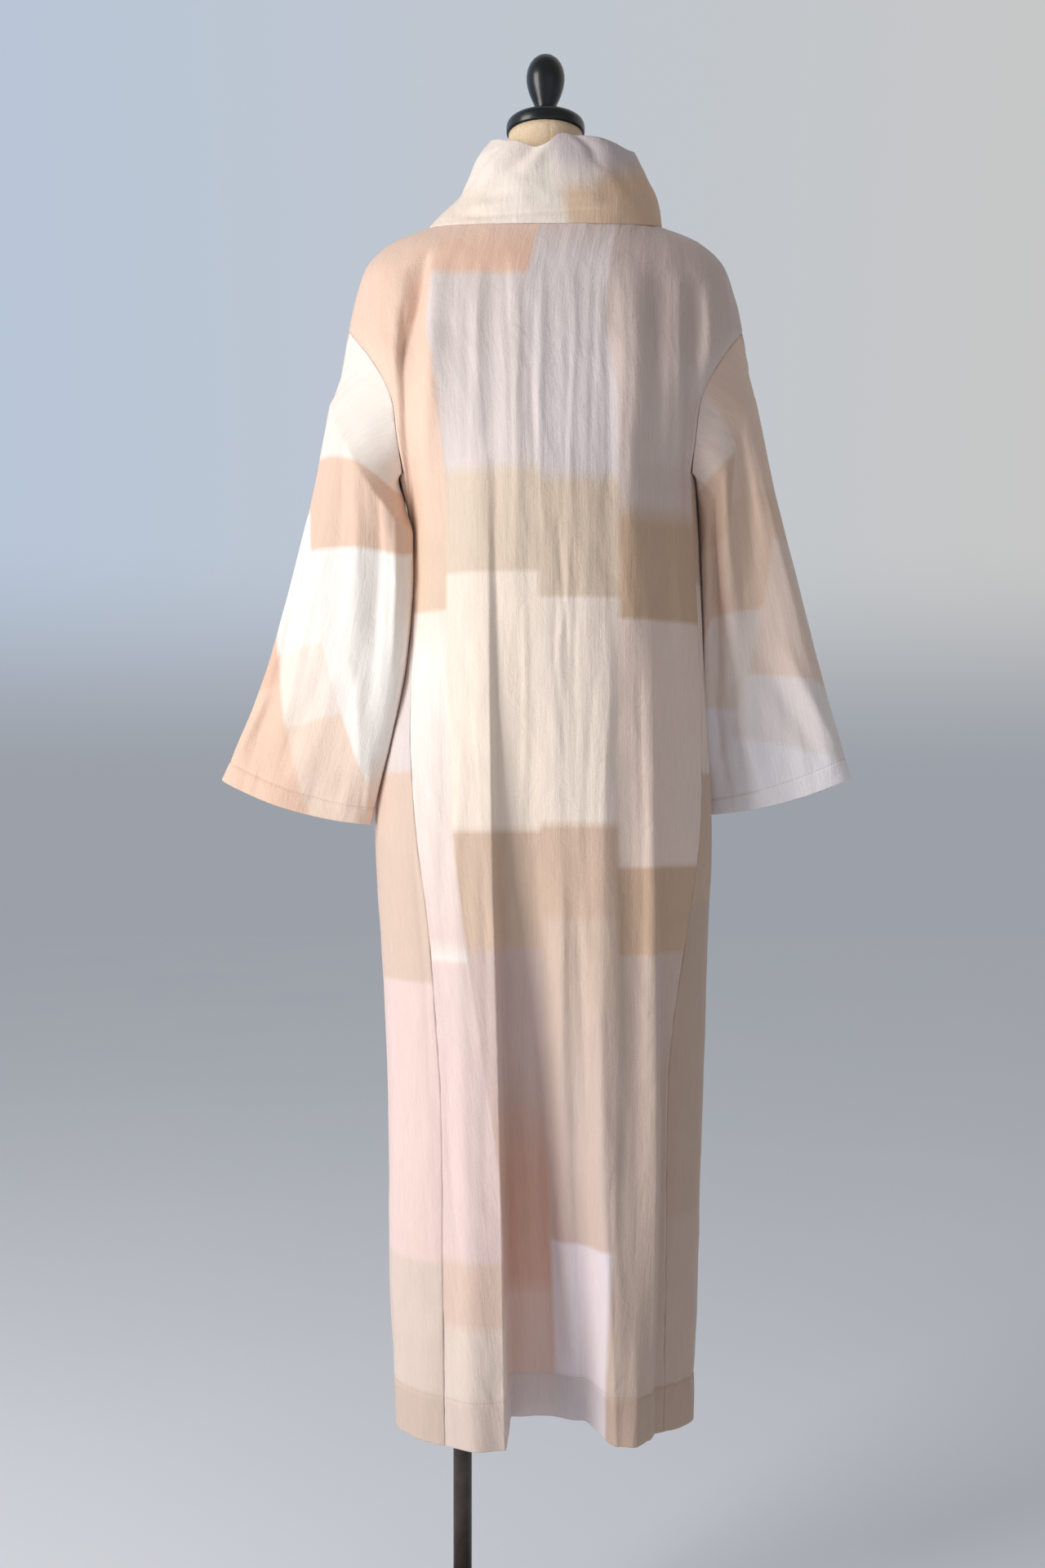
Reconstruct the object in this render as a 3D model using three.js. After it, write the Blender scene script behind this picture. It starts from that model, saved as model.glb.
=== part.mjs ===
// High neck dress on a limbless dress form, standing on an off-centre pole and a round base.
// Millimetres, +Z up. The origin is the floor point under the axis of the neck.
// The dress's back faces -Y, its front +Y; the wearer's left is -X.

import * as THREE from 'three';

// ---- driving dimensions ------------------------------------------------------------------

const CLOTH = 2.0;            // thickness of every cloth wall
const SEAM_GAP = 0.3;         // open joint between two pieces sewn edge to edge
const NECK_SEAM_GAP = 0.8;    // the same under the collar, whose wall leans in over the seam
const ARMHOLE_GAP = { under: 1.0, top: 0.4 };   // the same at the sleeves, wider under the arm
const UNDERARM_Z = 1300;      // lowest point of both armholes
const CORNER_POWER = 0.94;    // below 1 squares the oval sections a little

const NECK = { side: 126, back: 72, front: 82, sideZ: 1573, backZ: 1552, frontZ: 1534 };

const COLUMNS = { front: 28, side: 8 };               // the back's columns follow its fold lines
const SKIRT_ROWS = [284, 336, 420, 510, 600, 690, 780, 860, 930, 1000, 1070, 1140, 1220, 1300];
const ARMHOLE_ROWS = 7;       // rows from the underarm to the top of the armhole
const SHOULDER_ROWS = 4;      // rows from there to the neck seam

const COLOUR = {
  lavender: 0xcdc4c4, cream: 0xf1e4d8, peach: 0xe2bfa9, white: 0xf6efe7,
  linen: 0xc9b593, black: 0x0e1216, iron: 0x3a302c,
};

// ---- tables: one row for each section or fold ---------------------------------------------

// half-widths and depths of the skirt and bodice, from the neck axis, below the underarm
const BODY = [
  { z: 284, left: 160, right: 160, back: 62, front: 82 },
  { z: 450, left: 168, right: 166, back: 76, front: 92 },
  { z: 640, left: 170, right: 171, back: 88, front: 102 },
  { z: 780, left: 176, right: 175, back: 97, front: 110 },
  { z: 930, left: 184, right: 180, back: 104, front: 116 },
  { z: 1010, left: 174, right: 176, back: 107, front: 118 },
  { z: 1090, left: 158, right: 172, back: 109, front: 120 },
  { z: 1160, left: 149, right: 169, back: 110, front: 121 },
  { z: 1240, left: 147, right: 165, back: 112, front: 121 },
  { z: 1300, left: 158, right: 161, back: 113, front: 120 },
];

// how far from centre the seams between the back, the side panels and the front run
const SEAMS = [
  { z: 284, backLeft: 105, backRight: 124, frontLeft: 112, frontRight: 112 },
  { z: 450, backLeft: 107, backRight: 126, frontLeft: 116, frontRight: 116 },
  { z: 640, backLeft: 109, backRight: 127, frontLeft: 122, frontRight: 122 },
  { z: 720, backLeft: 114, backRight: 133, frontLeft: 128, frontRight: 128 },
  { z: 820, backLeft: 122, backRight: 149, frontLeft: 136, frontRight: 138 },
  { z: 930, backLeft: 136, backRight: 163, frontLeft: 145, frontRight: 146 },
  { z: 1035, backLeft: 142, backRight: 165, frontLeft: 146, frontRight: 152 },
  { z: 1160, backLeft: 140, backRight: 160, frontLeft: 138, frontRight: 154 },
  { z: 1300, backLeft: 152, backRight: 154, frontLeft: 151, frontRight: 153 },
];

// heights at which the fold lines below are given
const FOLD_HEIGHTS = { hem: 284, knee: 600, hip: 930, blade: 1300 };

// crests, edges and feet of the folds, left to right over the back: distance from centre (x)
// and distance out of the smooth section (out) at each of those heights, and the number of
// columns up to the next line. The first and last row are the side seams.
const BACK_FOLDS = [
  { columns: 4, hemOut: 24, kneeOut: 12, hipOut: 4, bladeOut: 0 },
  { columns: 5, hemX: -74, kneeX: -82, hipX: -98, bladeX: -104,
    hemOut: 33, kneeOut: 20, hipOut: 7, bladeOut: 0 },
  { columns: 2, hemX: -43, kneeX: -48, hipX: -57, bladeX: -62,
    hemOut: 24, kneeOut: 19, hipOut: 10, bladeOut: 1 },
  { columns: 5, hemX: -37, kneeX: -41, hipX: -48, bladeX: -52,
    hemOut: -60, kneeOut: -36, hipOut: -7, bladeOut: -2 },
  { columns: 5, hemX: 0, kneeX: -12, hipX: -20, bladeX: -22,
    hemOut: -64, kneeOut: -34, hipOut: -9, bladeOut: -2 },
  { columns: 5, hemX: 38, kneeX: 26, hipX: 16, bladeX: 14,
    hemOut: -50, kneeOut: -14, hipOut: -2, bladeOut: 0 },
  { columns: 4, hemX: 74, kneeX: 62, hipX: 56, bladeX: 52,
    hemOut: 20, kneeOut: 9, hipOut: 4, bladeOut: 0 },
  { columns: 3, hemX: 92, kneeX: 90, hipX: 84, bladeX: 80,
    hemOut: 25, kneeOut: 5, hipOut: -2, bladeOut: 0 },
  { columns: 2, hemX: 108, kneeX: 114, hipX: 110, bladeX: 104,
    hemOut: 13, kneeOut: 12, hipOut: 6, bladeOut: 0 },
  { columns: 4, hemX: 115, kneeX: 121, hipX: 118, bladeX: 114,
    hemOut: -2, kneeOut: -10, hipOut: -5, bladeOut: 0 },
  { columns: 0, hemOut: -2, kneeOut: -7, hipOut: -2, bladeOut: 0 },
];

// the same over the front, counted from the wearer's left seam to the right one
const FRONT_FOLDS = [
  { hemOut: 4, kneeOut: 0, hipOut: 0, bladeOut: 0 },
  { hemX: -78, kneeX: -84, hipX: -92, bladeX: -96, hemOut: 20, kneeOut: 12, hipOut: 5, bladeOut: 0 },
  { hemX: -44, kneeX: -50, hipX: -56, bladeX: -58, hemOut: -20, kneeOut: -12, hipOut: -4, bladeOut: 0 },
  { hemX: -4, kneeX: -8, hipX: -10, bladeX: -10, hemOut: 16, kneeOut: 11, hipOut: 4, bladeOut: 0 },
  { hemX: 40, kneeX: 40, hipX: 42, bladeX: 42, hemOut: -22, kneeOut: -13, hipOut: -4, bladeOut: 0 },
  { hemX: 80, kneeX: 86, hipX: 90, bladeX: 92, hemOut: 18, kneeOut: 10, hipOut: 4, bladeOut: 0 },
  { hemOut: 4, kneeOut: 0, hipOut: 0, bladeOut: 0 },
];

// narrow troughs that hang from the shoulders: where they start and end, and their size
const BACK_TROUGHS = [
  { topX: -134, topZ: 1515, lowX: -146, lowZ: 1150, width: 11, depth: 12 },
  { topX: -96, topZ: 1450, lowX: -92, lowZ: 1060, width: 15, depth: 4 },
  { topX: -55, topZ: 1500, lowX: -56, lowZ: 1060, width: 12, depth: 5 },
  { topX: -24, topZ: 1490, lowX: -18, lowZ: 1120, width: 10, depth: 4 },
  { topX: 6, topZ: 1480, lowX: 10, lowZ: 1040, width: 11, depth: 4 },
  { topX: 34, topZ: 1500, lowX: 30, lowZ: 1150, width: 10, depth: 3 },
  { topX: 66, topZ: 1490, lowX: 64, lowZ: 1050, width: 12, depth: 5 },
  { topX: 98, topZ: 1500, lowX: 96, lowZ: 1090, width: 12, depth: 5 },
  { topX: 158, topZ: 1500, lowX: 146, lowZ: 1180, width: 12, depth: 9 },
];
const FRONT_TROUGHS = [
  { topX: -112, topZ: 1500, lowX: -104, lowZ: 1150, width: 14, depth: 6 },
  { topX: -46, topZ: 1440, lowX: -50, lowZ: 1100, width: 14, depth: 4 },
  { topX: 4, topZ: 1430, lowX: 2, lowZ: 1120, width: 14, depth: 4 },
  { topX: 52, topZ: 1440, lowX: 56, lowZ: 1100, width: 14, depth: 4 },
  { topX: 118, topZ: 1500, lowX: 110, lowZ: 1150, width: 14, depth: 6 },
];

// edge of the armhole from the underarm corner to its top; depth is behind or before the neck
const ARMHOLE = [
  { step: 0.00, x: null, depth: null, z: UNDERARM_Z },
  { step: 0.25, x: 157, depth: 56, z: 1336 },
  { step: 0.50, x: 163, depth: 64, z: 1376 },
  { step: 0.75, x: 184, depth: 50, z: 1416 },
  { step: 1.00, x: 213, depth: 0, z: 1460 },
];

// shoulder seam, from the top of the armhole to the neck
const SHOULDER = [
  { step: 0.00, x: 213, z: 1460 },
  { step: 0.25, x: 205, z: 1495 },
  { step: 0.50, x: 192, z: 1533 },
  { step: 0.75, x: 163, z: 1559 },
  { step: 1.00, x: NECK.side, z: NECK.sideZ },
];

// centre back and centre front above the underarm, over the same rows
const CENTRE = [
  { row: 0, backY: -113, backZ: 1300, frontY: 120, frontZ: 1300 },
  { row: 0.35, backY: -116, backZ: 1380, frontY: 121, frontZ: 1376 },
  { row: 0.64, backY: -111, backZ: 1440, frontY: 110, frontZ: 1434 },
  { row: 0.85, backY: -93, backZ: 1505, frontY: 93, frontZ: 1492 },
  { row: 1, backY: -NECK.back, backZ: NECK.backZ, frontY: NECK.front, frontZ: NECK.frontZ },
];

// sleeves: outer and inner edge of each section, its place across (Y), its half-depth and how
// far its middle hangs below the line between the edges
const SLEEVE_LEFT = [
  { step: 0.17, outX: 228, outZ: 1384, outY: 2, inX: 159, inZ: 1236, inY: -26, depth: 41, droop: 0 },
  { step: 0.38, outX: 252, outZ: 1275, outY: 4, inX: 151, inZ: 1160, inY: -46, depth: 35, droop: 0 },
  { step: 0.58, outX: 280, outZ: 1170, outY: 5, inX: 158, inZ: 1085, inY: -50, depth: 33, droop: 2 },
  { step: 0.80, outX: 312, outZ: 1068, outY: 3, inX: 173, inZ: 1005, inY: -40, depth: 32, droop: 5 },
  { step: 1.00, outX: 350, outZ: 975, outY: 0, inX: 190, inZ: 927, inY: -26, depth: 31, droop: 8 },
];
const SLEEVE_RIGHT = [
  { step: 0.17, outX: 227, outZ: 1386, outY: -2, inX: 166, inZ: 1236, inY: 2, depth: 46, droop: 0 },
  { step: 0.38, outX: 250, outZ: 1278, outY: -4, inX: 176, inZ: 1160, inY: 14, depth: 41, droop: 0 },
  { step: 0.58, outX: 276, outZ: 1174, outY: -5, inX: 181, inZ: 1085, inY: 28, depth: 37, droop: 2 },
  { step: 0.80, outX: 304, outZ: 1068, outY: -3, inX: 182, inZ: 1005, inY: 38, depth: 34, droop: 5 },
  { step: 1.00, outX: 332, outZ: 976, outY: 0, inX: 182, inZ: 936, inY: 40, depth: 31, droop: 8 },
];
const SLEEVE_ROWS = 13;

// folds along the sleeves: place round the section (0 outer edge, 0.5 inner edge by way of the
// back, 1 outer edge again), half-width round it, depth, and the stretch of sleeve they run over
const SLEEVE_FOLDS_LEFT = [
  { around: 0.14, width: 0.07, depth: 7, from: 0.15, to: 1.0 },
  { around: 0.31, width: 0.08, depth: 9, from: 0.10, to: 0.85 },
  { around: 0.66, width: 0.08, depth: 6, from: 0.15, to: 0.95 },
  { around: 0.84, width: 0.08, depth: 6, from: 0.25, to: 1.0 },
];
const SLEEVE_FOLDS_RIGHT = [
  { around: 0.20, width: 0.08, depth: 8, from: 0.05, to: 0.8 },
  { around: 0.36, width: 0.07, depth: 6, from: 0.35, to: 1.0 },
  { around: 0.70, width: 0.08, depth: 6, from: 0.15, to: 0.95 },
  { around: 0.86, width: 0.07, depth: 5, from: 0.25, to: 1.0 },
];

// collar: sections from the neck seam (step 0) to its upper edge (step 1)
const COLLAR = [
  { step: 0.00, left: NECK.side, right: NECK.side, back: NECK.back, front: NECK.front },
  { step: 0.22, left: 107, right: 124, back: 71, front: 81 },
  { step: 0.40, left: 92, right: 120, back: 72, front: 80 },
  { step: 0.60, left: 84, right: 113, back: 69, front: 77 },
  { step: 0.80, left: 76, right: 106, back: 65, front: 73 },
  { step: 1.00, left: 63, right: 97, back: 61, front: 68 },
];
// height of the collar's upper edge round the neck, in degrees from centre back to the right
const COLLAR_EDGE = [
  { at: -180, z: 1628 }, { at: -120, z: 1644 }, { at: -80, z: 1659 }, { at: -50, z: 1652 },
  { at: -37, z: 1646 }, { at: -2, z: 1638 }, { at: 9, z: 1650 }, { at: 30, z: 1649 },
  { at: 62, z: 1646 }, { at: 85, z: 1650 }, { at: 120, z: 1641 }, { at: 180, z: 1628 },
];
const COLLAR_COLUMNS = 40;
const COLLAR_ROWS = 5;

// dress form: half-width, back and front depth of its sections
const FORM = [
  { z: 872, side: 116, back: 70, front: 74 },
  { z: 905, side: 134, back: 84, front: 86 },
  { z: 980, side: 140, back: 90, front: 90 },
  { z: 1080, side: 126, back: 84, front: 88 },
  { z: 1170, side: 108, back: 76, front: 84 },
  { z: 1250, side: 118, back: 82, front: 96 },
  { z: 1330, side: 132, back: 92, front: 106 },
  { z: 1410, side: 144, back: 96, front: 98 },
  { z: 1470, side: 162, back: 88, front: 82 },
  { z: 1510, side: 172, back: 76, front: 70 },
  { z: 1535, side: 168, back: 64, front: 58 },
  { z: 1551, side: 156, back: 54, front: 48 },
  { z: 1561, side: 135, back: 48, front: 44 },
  { z: 1569, side: 112, back: 44, front: 42 },
  { z: 1580, side: 82, back: 42, front: 41 },
  { z: 1596, side: 58, back: 41, front: 41 },
  { z: 1624, side: 44, back: 40.5, front: 40.5 },
  { z: 1673.7, side: 40, back: 40, front: 40 },
];
const FORM_COLUMNS = 28;

const CAP = { bottomZ: 1674, rim: 42.5, rimHeight: 8, height: 18 };
const FINIAL = { bottomZ: 1692.3, foot: 14, stem: 11.3, stemZ: 1703, egg: 20.8, eggZ: 1733, topZ: 1760 };
const POLE = { x: -90, radius: 10, topZ: 871.7, bottomZ: 30.3 };
const BASE = { radius: 160, rimHeight: 8, hub: 26, hubHeight: 30 };
const ROUND_SEGMENTS = 32;

// ---- curves and sections -------------------------------------------------------------------

const radians = THREE.MathUtils.degToRad;
const lerp = THREE.MathUtils.lerp;
const smooth = (t) => THREE.MathUtils.smoothstep(t, 0, 1);

// one named column of a table, read smoothly between its rows
function read(table, by, name, at) {
  const last = table.length - 1;
  if (at <= table[0][by]) return table[0][name];
  if (at >= table[last][by]) return table[last][name];
  const i = table.findIndex((row) => row[by] > at) - 1;
  const slope = (a, b) => (table[b][name] - table[a][name]) / (table[b][by] - table[a][by]);
  const here = slope(i, i + 1);
  const limit = (other) => (other * here <= 0 ? 0
    : Math.sign(here) * Math.min(Math.abs(other + here) / 2, 3 * Math.abs(here), 3 * Math.abs(other)));
  const start = i > 0 ? limit(slope(i - 1, i)) : here;
  const end = i + 2 <= last ? limit(slope(i + 1, i + 2)) : here;
  const span = table[i + 1][by] - table[i][by];
  const t = (at - table[i][by]) / span;
  return table[i][name] * (1 + 2 * t) * (1 - t) ** 2 + start * span * t * (1 - t) ** 2
    + table[i + 1][name] * t * t * (3 - 2 * t) - end * span * t * t * (1 - t);
}

// squared oval: a turn of 0 looks back (-Y), 90 degrees to +X, 180 forward
const across = (turn) => Math.sign(Math.sin(turn)) * Math.abs(Math.sin(turn)) ** CORNER_POWER;
const along = (turn) => Math.sign(Math.cos(turn)) * Math.abs(Math.cos(turn)) ** CORNER_POWER;
const turnAt = (share) => Math.asin(Math.min(1, Math.abs(share)) ** (1 / CORNER_POWER))
  * Math.sign(share);

// a fold value at a height, from its four named heights
function foldAt(fold, what, z) {
  const table = Object.entries(FOLD_HEIGHTS).map(([name, height]) => (
    { z: height, value: fold[name + what] }));
  return read(table, 'z', 'value', z);
}

// depth of all narrow troughs of a panel at one of its points
function troughDepth(troughs, x, z) {
  let depth = 0;
  for (const trough of troughs) {
    const t = (trough.topZ - z) / (trough.topZ - trough.lowZ);
    if (t <= 0 || t >= 1) continue;
    const offset = (x - lerp(trough.topX, trough.lowX, t)) / trough.width;
    depth += trough.depth * Math.exp(-offset * offset) * Math.sin(Math.PI * Math.sqrt(t));
  }
  return depth;
}

// ---- cloth walls ---------------------------------------------------------------------------

// outward normal of a grid point; neighbour(row, step) gives the point past the grid's edge
function gridNormal(grid, row, column, closed, neighbour) {
  const count = grid[row].length;
  const pick = (step) => {
    const c = column + step;
    if (closed) return grid[row][(c + count) % count];
    if (c < 0 || c >= count) return neighbour?.(row, step) ?? grid[row][column];
    return grid[row][c];
  };
  const over = pick(1).clone().sub(pick(-1));
  const up = grid[Math.min(row + 1, grid.length - 1)][column].clone()
    .sub(grid[Math.max(row - 1, 0)][column]);
  return over.cross(up).normalize();
}

// closed wall of cloth on a grid of outer points: outer face, inner face and the rim between
function clothWall(grid, { closed = false, facing = 1, neighbour, inset = () => 0 } = {}) {
  const rows = grid.length;
  const columns = grid[0].length;
  const outer = grid.map((line) => line.map((point) => point.clone()));
  const inner = grid.map((line, r) => line.map((point, c) => (
    point.clone().addScaledVector(gridNormal(grid, r, c, closed, neighbour), -facing * CLOTH))));
  if (!closed) {
    for (let r = 0; r < rows; r += 1) {
      for (const [edge, next] of [[0, 1], [columns - 1, columns - 2]]) {
        const shift = grid[r][next].clone().sub(grid[r][edge]).setLength(inset(r));
        outer[r][edge].add(shift);
        inner[r][edge].add(shift);
      }
    }
  }
  const positions = [];
  for (const face of [outer, inner]) {
    for (const line of face) for (const point of line) positions.push(...point);
  }
  const index = [];
  const at = (side, r, c) => (side * rows + r) * columns + (c % columns);
  const quad = (a, b, c, d) => {
    if (facing > 0) index.push(a, b, c, a, c, d);
    else index.push(a, c, b, a, d, c);
  };
  const spans = closed ? columns : columns - 1;
  for (let r = 0; r < rows - 1; r += 1) {
    for (let c = 0; c < spans; c += 1) {
      quad(at(0, r, c), at(0, r, c + 1), at(0, r + 1, c + 1), at(0, r + 1, c));
      quad(at(1, r, c), at(1, r + 1, c), at(1, r + 1, c + 1), at(1, r, c + 1));
    }
  }
  for (let c = 0; c < spans; c += 1) {
    quad(at(0, 0, c), at(1, 0, c), at(1, 0, c + 1), at(0, 0, c + 1));
    quad(at(0, rows - 1, c), at(0, rows - 1, c + 1), at(1, rows - 1, c + 1), at(1, rows - 1, c));
  }
  if (!closed) {
    const end = columns - 1;
    for (let r = 0; r < rows - 1; r += 1) {
      quad(at(0, r, 0), at(0, r + 1, 0), at(1, r + 1, 0), at(1, r, 0));
      quad(at(0, r, end), at(1, r, end), at(1, r + 1, end), at(0, r + 1, end));
    }
  }
  const geometry = new THREE.BufferGeometry();
  geometry.setAttribute('position', new THREE.Float32BufferAttribute(positions, 3));
  geometry.setIndex(index);
  geometry.computeVertexNormals();
  return geometry;
}

// ---- body panels ---------------------------------------------------------------------------

const UPPER_ROWS = ARMHOLE_ROWS + SHOULDER_ROWS;
const FACE = {
  back: { sign: -1, folds: BACK_FOLDS, troughs: BACK_TROUGHS },
  front: { sign: 1, folds: FRONT_FOLDS, troughs: FRONT_TROUGHS },
};

// a panel's seam at one side: its turn from the panel's centre at a height
function seamTurn(face, side, z) {
  const distance = read(SEAMS, 'z', face + (side < 0 ? 'Left' : 'Right'), z);
  return turnAt(distance / read(BODY, 'z', side < 0 ? 'left' : 'right', z)) * side;
}

// turns and out distances of a panel's fold lines at a height
function foldLines(face, z) {
  const { folds } = FACE[face];
  return folds.map((fold, i) => {
    const out = foldAt(fold, 'Out', z);
    if (i === 0) return { turn: seamTurn(face, -1, z), out };
    if (i === folds.length - 1) return { turn: seamTurn(face, 1, z), out };
    const x = foldAt(fold, 'X', z);
    return { turn: turnAt(x / read(BODY, 'z', x < 0 ? 'left' : 'right', z)), out };
  });
}

// turns and out distances of all columns of a panel at a height
function panelColumns(face, z) {
  const lines = foldLines(face, z);
  const evenly = Math.ceil(COLUMNS.front / (lines.length - 1));
  const points = [];
  lines.slice(0, -1).forEach((line, i) => {
    const steps = FACE[face].folds[i].columns ?? evenly;
    for (let k = 0; k < steps; k += 1) {
      const t = k / steps;
      points.push({ turn: lerp(line.turn, lines[i + 1].turn, t),
        out: lerp(line.out, lines[i + 1].out, smooth(t)) });
    }
  });
  points.push(lines[lines.length - 1]);
  return points;
}

// edge of a panel above the underarm: up the armhole, then in along the shoulder seam
function upperEdge(face, side, row) {
  const { sign } = FACE[face];
  const corner = sectionPoint(face, seamTurn(face, side, UNDERARM_Z), 0, UNDERARM_Z);
  if (row <= ARMHOLE_ROWS) {
    const table = ARMHOLE.map((line) => ({ ...line,
      x: line.x ?? Math.abs(corner.x), depth: line.depth ?? Math.abs(corner.y) }));
    const step = row / ARMHOLE_ROWS;
    return new THREE.Vector3(side * read(table, 'step', 'x', step),
      sign * read(table, 'step', 'depth', step), read(table, 'step', 'z', step));
  }
  const step = (row - ARMHOLE_ROWS) / SHOULDER_ROWS;
  return new THREE.Vector3(side * read(SHOULDER, 'step', 'x', step), 0,
    read(SHOULDER, 'step', 'z', step));
}

// a point of the skirt or lower bodice
function sectionPoint(face, turn, out, z) {
  const { sign } = FACE[face];
  const x = across(turn) * read(BODY, 'z', turn < 0 ? 'left' : 'right', z);
  return new THREE.Vector3(x, sign * (along(turn) * read(BODY, 'z', face, z) + out), z);
}

// a point above the underarm, between the two edges of its row and the centre line
function upperPoint(face, turn, ends, row) {
  const side = turn < 0 ? -1 : 1;
  const { edge, limit } = side < 0 ? ends.left : ends.right;
  const share = row / UPPER_ROWS;
  const centreY = read(CENTRE, 'row', `${face}Y`, share);
  const centreZ = read(CENTRE, 'row', `${face}Z`, share);
  const inward = (along(turn) - along(limit)) / (1 - along(limit));
  return new THREE.Vector3(edge.x * across(turn) / across(limit),
    lerp(edge.y, centreY, inward), lerp(edge.z, centreZ, inward));
}

// outer points of the back or front, left to right, hem to neck
function panelGrid(face) {
  const { sign, troughs } = FACE[face];
  const edgeFade = 16;
  const pressed = (point, from, to) => {
    const room = Math.min(point.distanceTo(from), point.distanceTo(to)) / edgeFade;
    const depth = troughDepth(troughs, point.x, point.z) * smooth(Math.min(1, room));
    point.y -= sign * depth;
    return point;
  };
  const lower = SKIRT_ROWS.map((z) => {
    const line = panelColumns(face, z).map(({ turn, out }) => sectionPoint(face, turn, out, z));
    return line.map((point) => pressed(point, line[0].clone(), line[line.length - 1].clone()));
  });
  const columns = panelColumns(face, UNDERARM_Z);
  const quarter = Math.PI / 2;
  for (let row = 1; row <= UPPER_ROWS; row += 1) {
    const opened = smooth(Math.min(1, row / ARMHOLE_ROWS));
    const ends = {};
    for (const [name, side] of [['left', -1], ['right', 1]]) {
      const start = Math.abs(seamTurn(face, side, UNDERARM_Z));
      ends[name] = { start, edge: upperEdge(face, side, row),
        limit: side * lerp(start, quarter, opened) };
    }
    const line = columns.map(({ turn }) => {
      const end = turn < 0 ? ends.left : ends.right;
      return upperPoint(face, turn * Math.abs(end.limit) / end.start, ends, row);
    });
    lower.push(line.map((point) => pressed(point, ends.left.edge, ends.right.edge)));
  }
  return lower;
}

// outer points of a side panel, from its seam with one panel to its seam with the other
function sideGrid(side) {
  const [first, last] = side > 0 ? ['back', 'front'] : ['front', 'back'];
  return SKIRT_ROWS.map((z) => {
    const edges = [first, last].map((face) => {
      const lines = foldLines(face, z);
      const { turn, out } = side > 0 ? lines[lines.length - 1] : lines[0];
      const fromBack = face === 'back' ? Math.abs(turn) : Math.PI - Math.abs(turn);
      return { fromBack, out: out * FACE[face].sign };
    });
    const line = [];
    for (let c = 0; c <= COLUMNS.side; c += 1) {
      const t = c / COLUMNS.side;
      const turn = lerp(edges[0].fromBack, edges[1].fromBack, t);
      const face = turn <= Math.PI / 2 ? 'back' : 'front';
      const x = side * across(turn) * read(BODY, 'z', side < 0 ? 'left' : 'right', z);
      const y = -along(turn) * read(BODY, 'z', face, z) + lerp(edges[0].out, edges[1].out, t);
      line.push(new THREE.Vector3(x, y, z));
    }
    return line;
  });
}

// ---- sleeves -------------------------------------------------------------------------------

// the armhole's edge as a closed loop: top, down the back, underarm, up the front
function armholeLoop(side, grids) {
  const first = SKIRT_ROWS.length - 1;
  const end = (grid, face) => (row) => {
    const line = grid[first + row];
    const atStart = (face === 'back') === (side < 0);
    return line[atStart ? 0 : line.length - 1];
  };
  const loop = [];
  const back = end(grids.back, 'back');
  for (let row = ARMHOLE_ROWS; row > 0; row -= 1) loop.push(back(row));
  const under = grids.side[first];
  loop.push(...(side > 0 ? under : [...under].reverse()));
  const front = end(grids.front, 'front');
  for (let row = 1; row < ARMHOLE_ROWS; row += 1) loop.push(front(row));
  return loop;
}

// outer points of a sleeve, armhole to cuff
function sleeveGrid(side, loop, table, folds) {
  const lowest = Math.min(...loop.map((point) => point.z));
  const highest = Math.max(...loop.map((point) => point.z));
  const grid = [loop.map((point) => {
    const height = (point.z - lowest) / (highest - lowest);
    const outwards = lerp(ARMHOLE_GAP.under, ARMHOLE_GAP.top, height);
    return point.clone().add(new THREE.Vector3(side * outwards, 0, -ARMHOLE_GAP.top * height));
  })];
  const start = table[0].step;
  for (let r = 1; r <= SLEEVE_ROWS; r += 1) {
    const step = (r / SLEEVE_ROWS) ** 0.9;
    const get = (name) => read(table, 'step', name, Math.max(step, start));
    const outer = new THREE.Vector3(side * get('outX'), get('outY'), get('outZ'));
    const inner = new THREE.Vector3(side * get('inX'), get('inY'), get('inZ'));
    const centre = outer.clone().add(inner).multiplyScalar(0.5);
    const half = outer.clone().sub(inner).multiplyScalar(0.5);
    const flat = new THREE.Vector3(half.y * side, -Math.abs(half.x), 0).normalize();
    grid.push(loop.map((_, k) => {
      const around = k / loop.length;
      const angle = around * 2 * Math.PI;
      let press = 0;
      for (const fold of folds) {
        const offset = (around - fold.around) / fold.width;
        const run = (step - fold.from) / (fold.to - fold.from);
        if (run > 0) press += fold.depth * Math.exp(-offset * offset) * smooth(Math.min(1, 3 * run));
      }
      const depth = get('depth') - press;
      const point = centre.clone().addScaledVector(half, Math.cos(angle))
        .addScaledVector(flat, depth * Math.sin(angle));
      point.z -= get('droop') * Math.sin(angle) ** 2;
      return step < start ? loop[k].clone().lerp(point, step / start) : point;
    }));
  }
  return grid;
}

// ---- collar --------------------------------------------------------------------------------

function collarGrid() {
  const grid = [];
  for (let r = 0; r <= COLLAR_ROWS; r += 1) {
    const step = r / COLLAR_ROWS;
    const line = [];
    for (let c = 0; c < COLLAR_COLUMNS; c += 1) {
      const turn = radians(-180 + 360 * c / COLLAR_COLUMNS);
      const isBack = Math.abs(turn) <= Math.PI / 2;
      const x = across(turn) * read(COLLAR, 'step', turn < 0 ? 'left' : 'right', step);
      const y = -along(turn) * read(COLLAR, 'step', isBack ? 'back' : 'front', step);
      const seamZ = lerp(NECK.sideZ, isBack ? NECK.backZ : NECK.frontZ, Math.abs(along(turn)));
      const edgeZ = read(COLLAR_EDGE, 'at', 'z', THREE.MathUtils.radToDeg(turn));
      line.push(new THREE.Vector3(x, y, lerp(seamZ + NECK_SEAM_GAP, edgeZ, step)));
    }
    grid.push(line);
  }
  return grid;
}

// ---- dress form and stand ------------------------------------------------------------------

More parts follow.
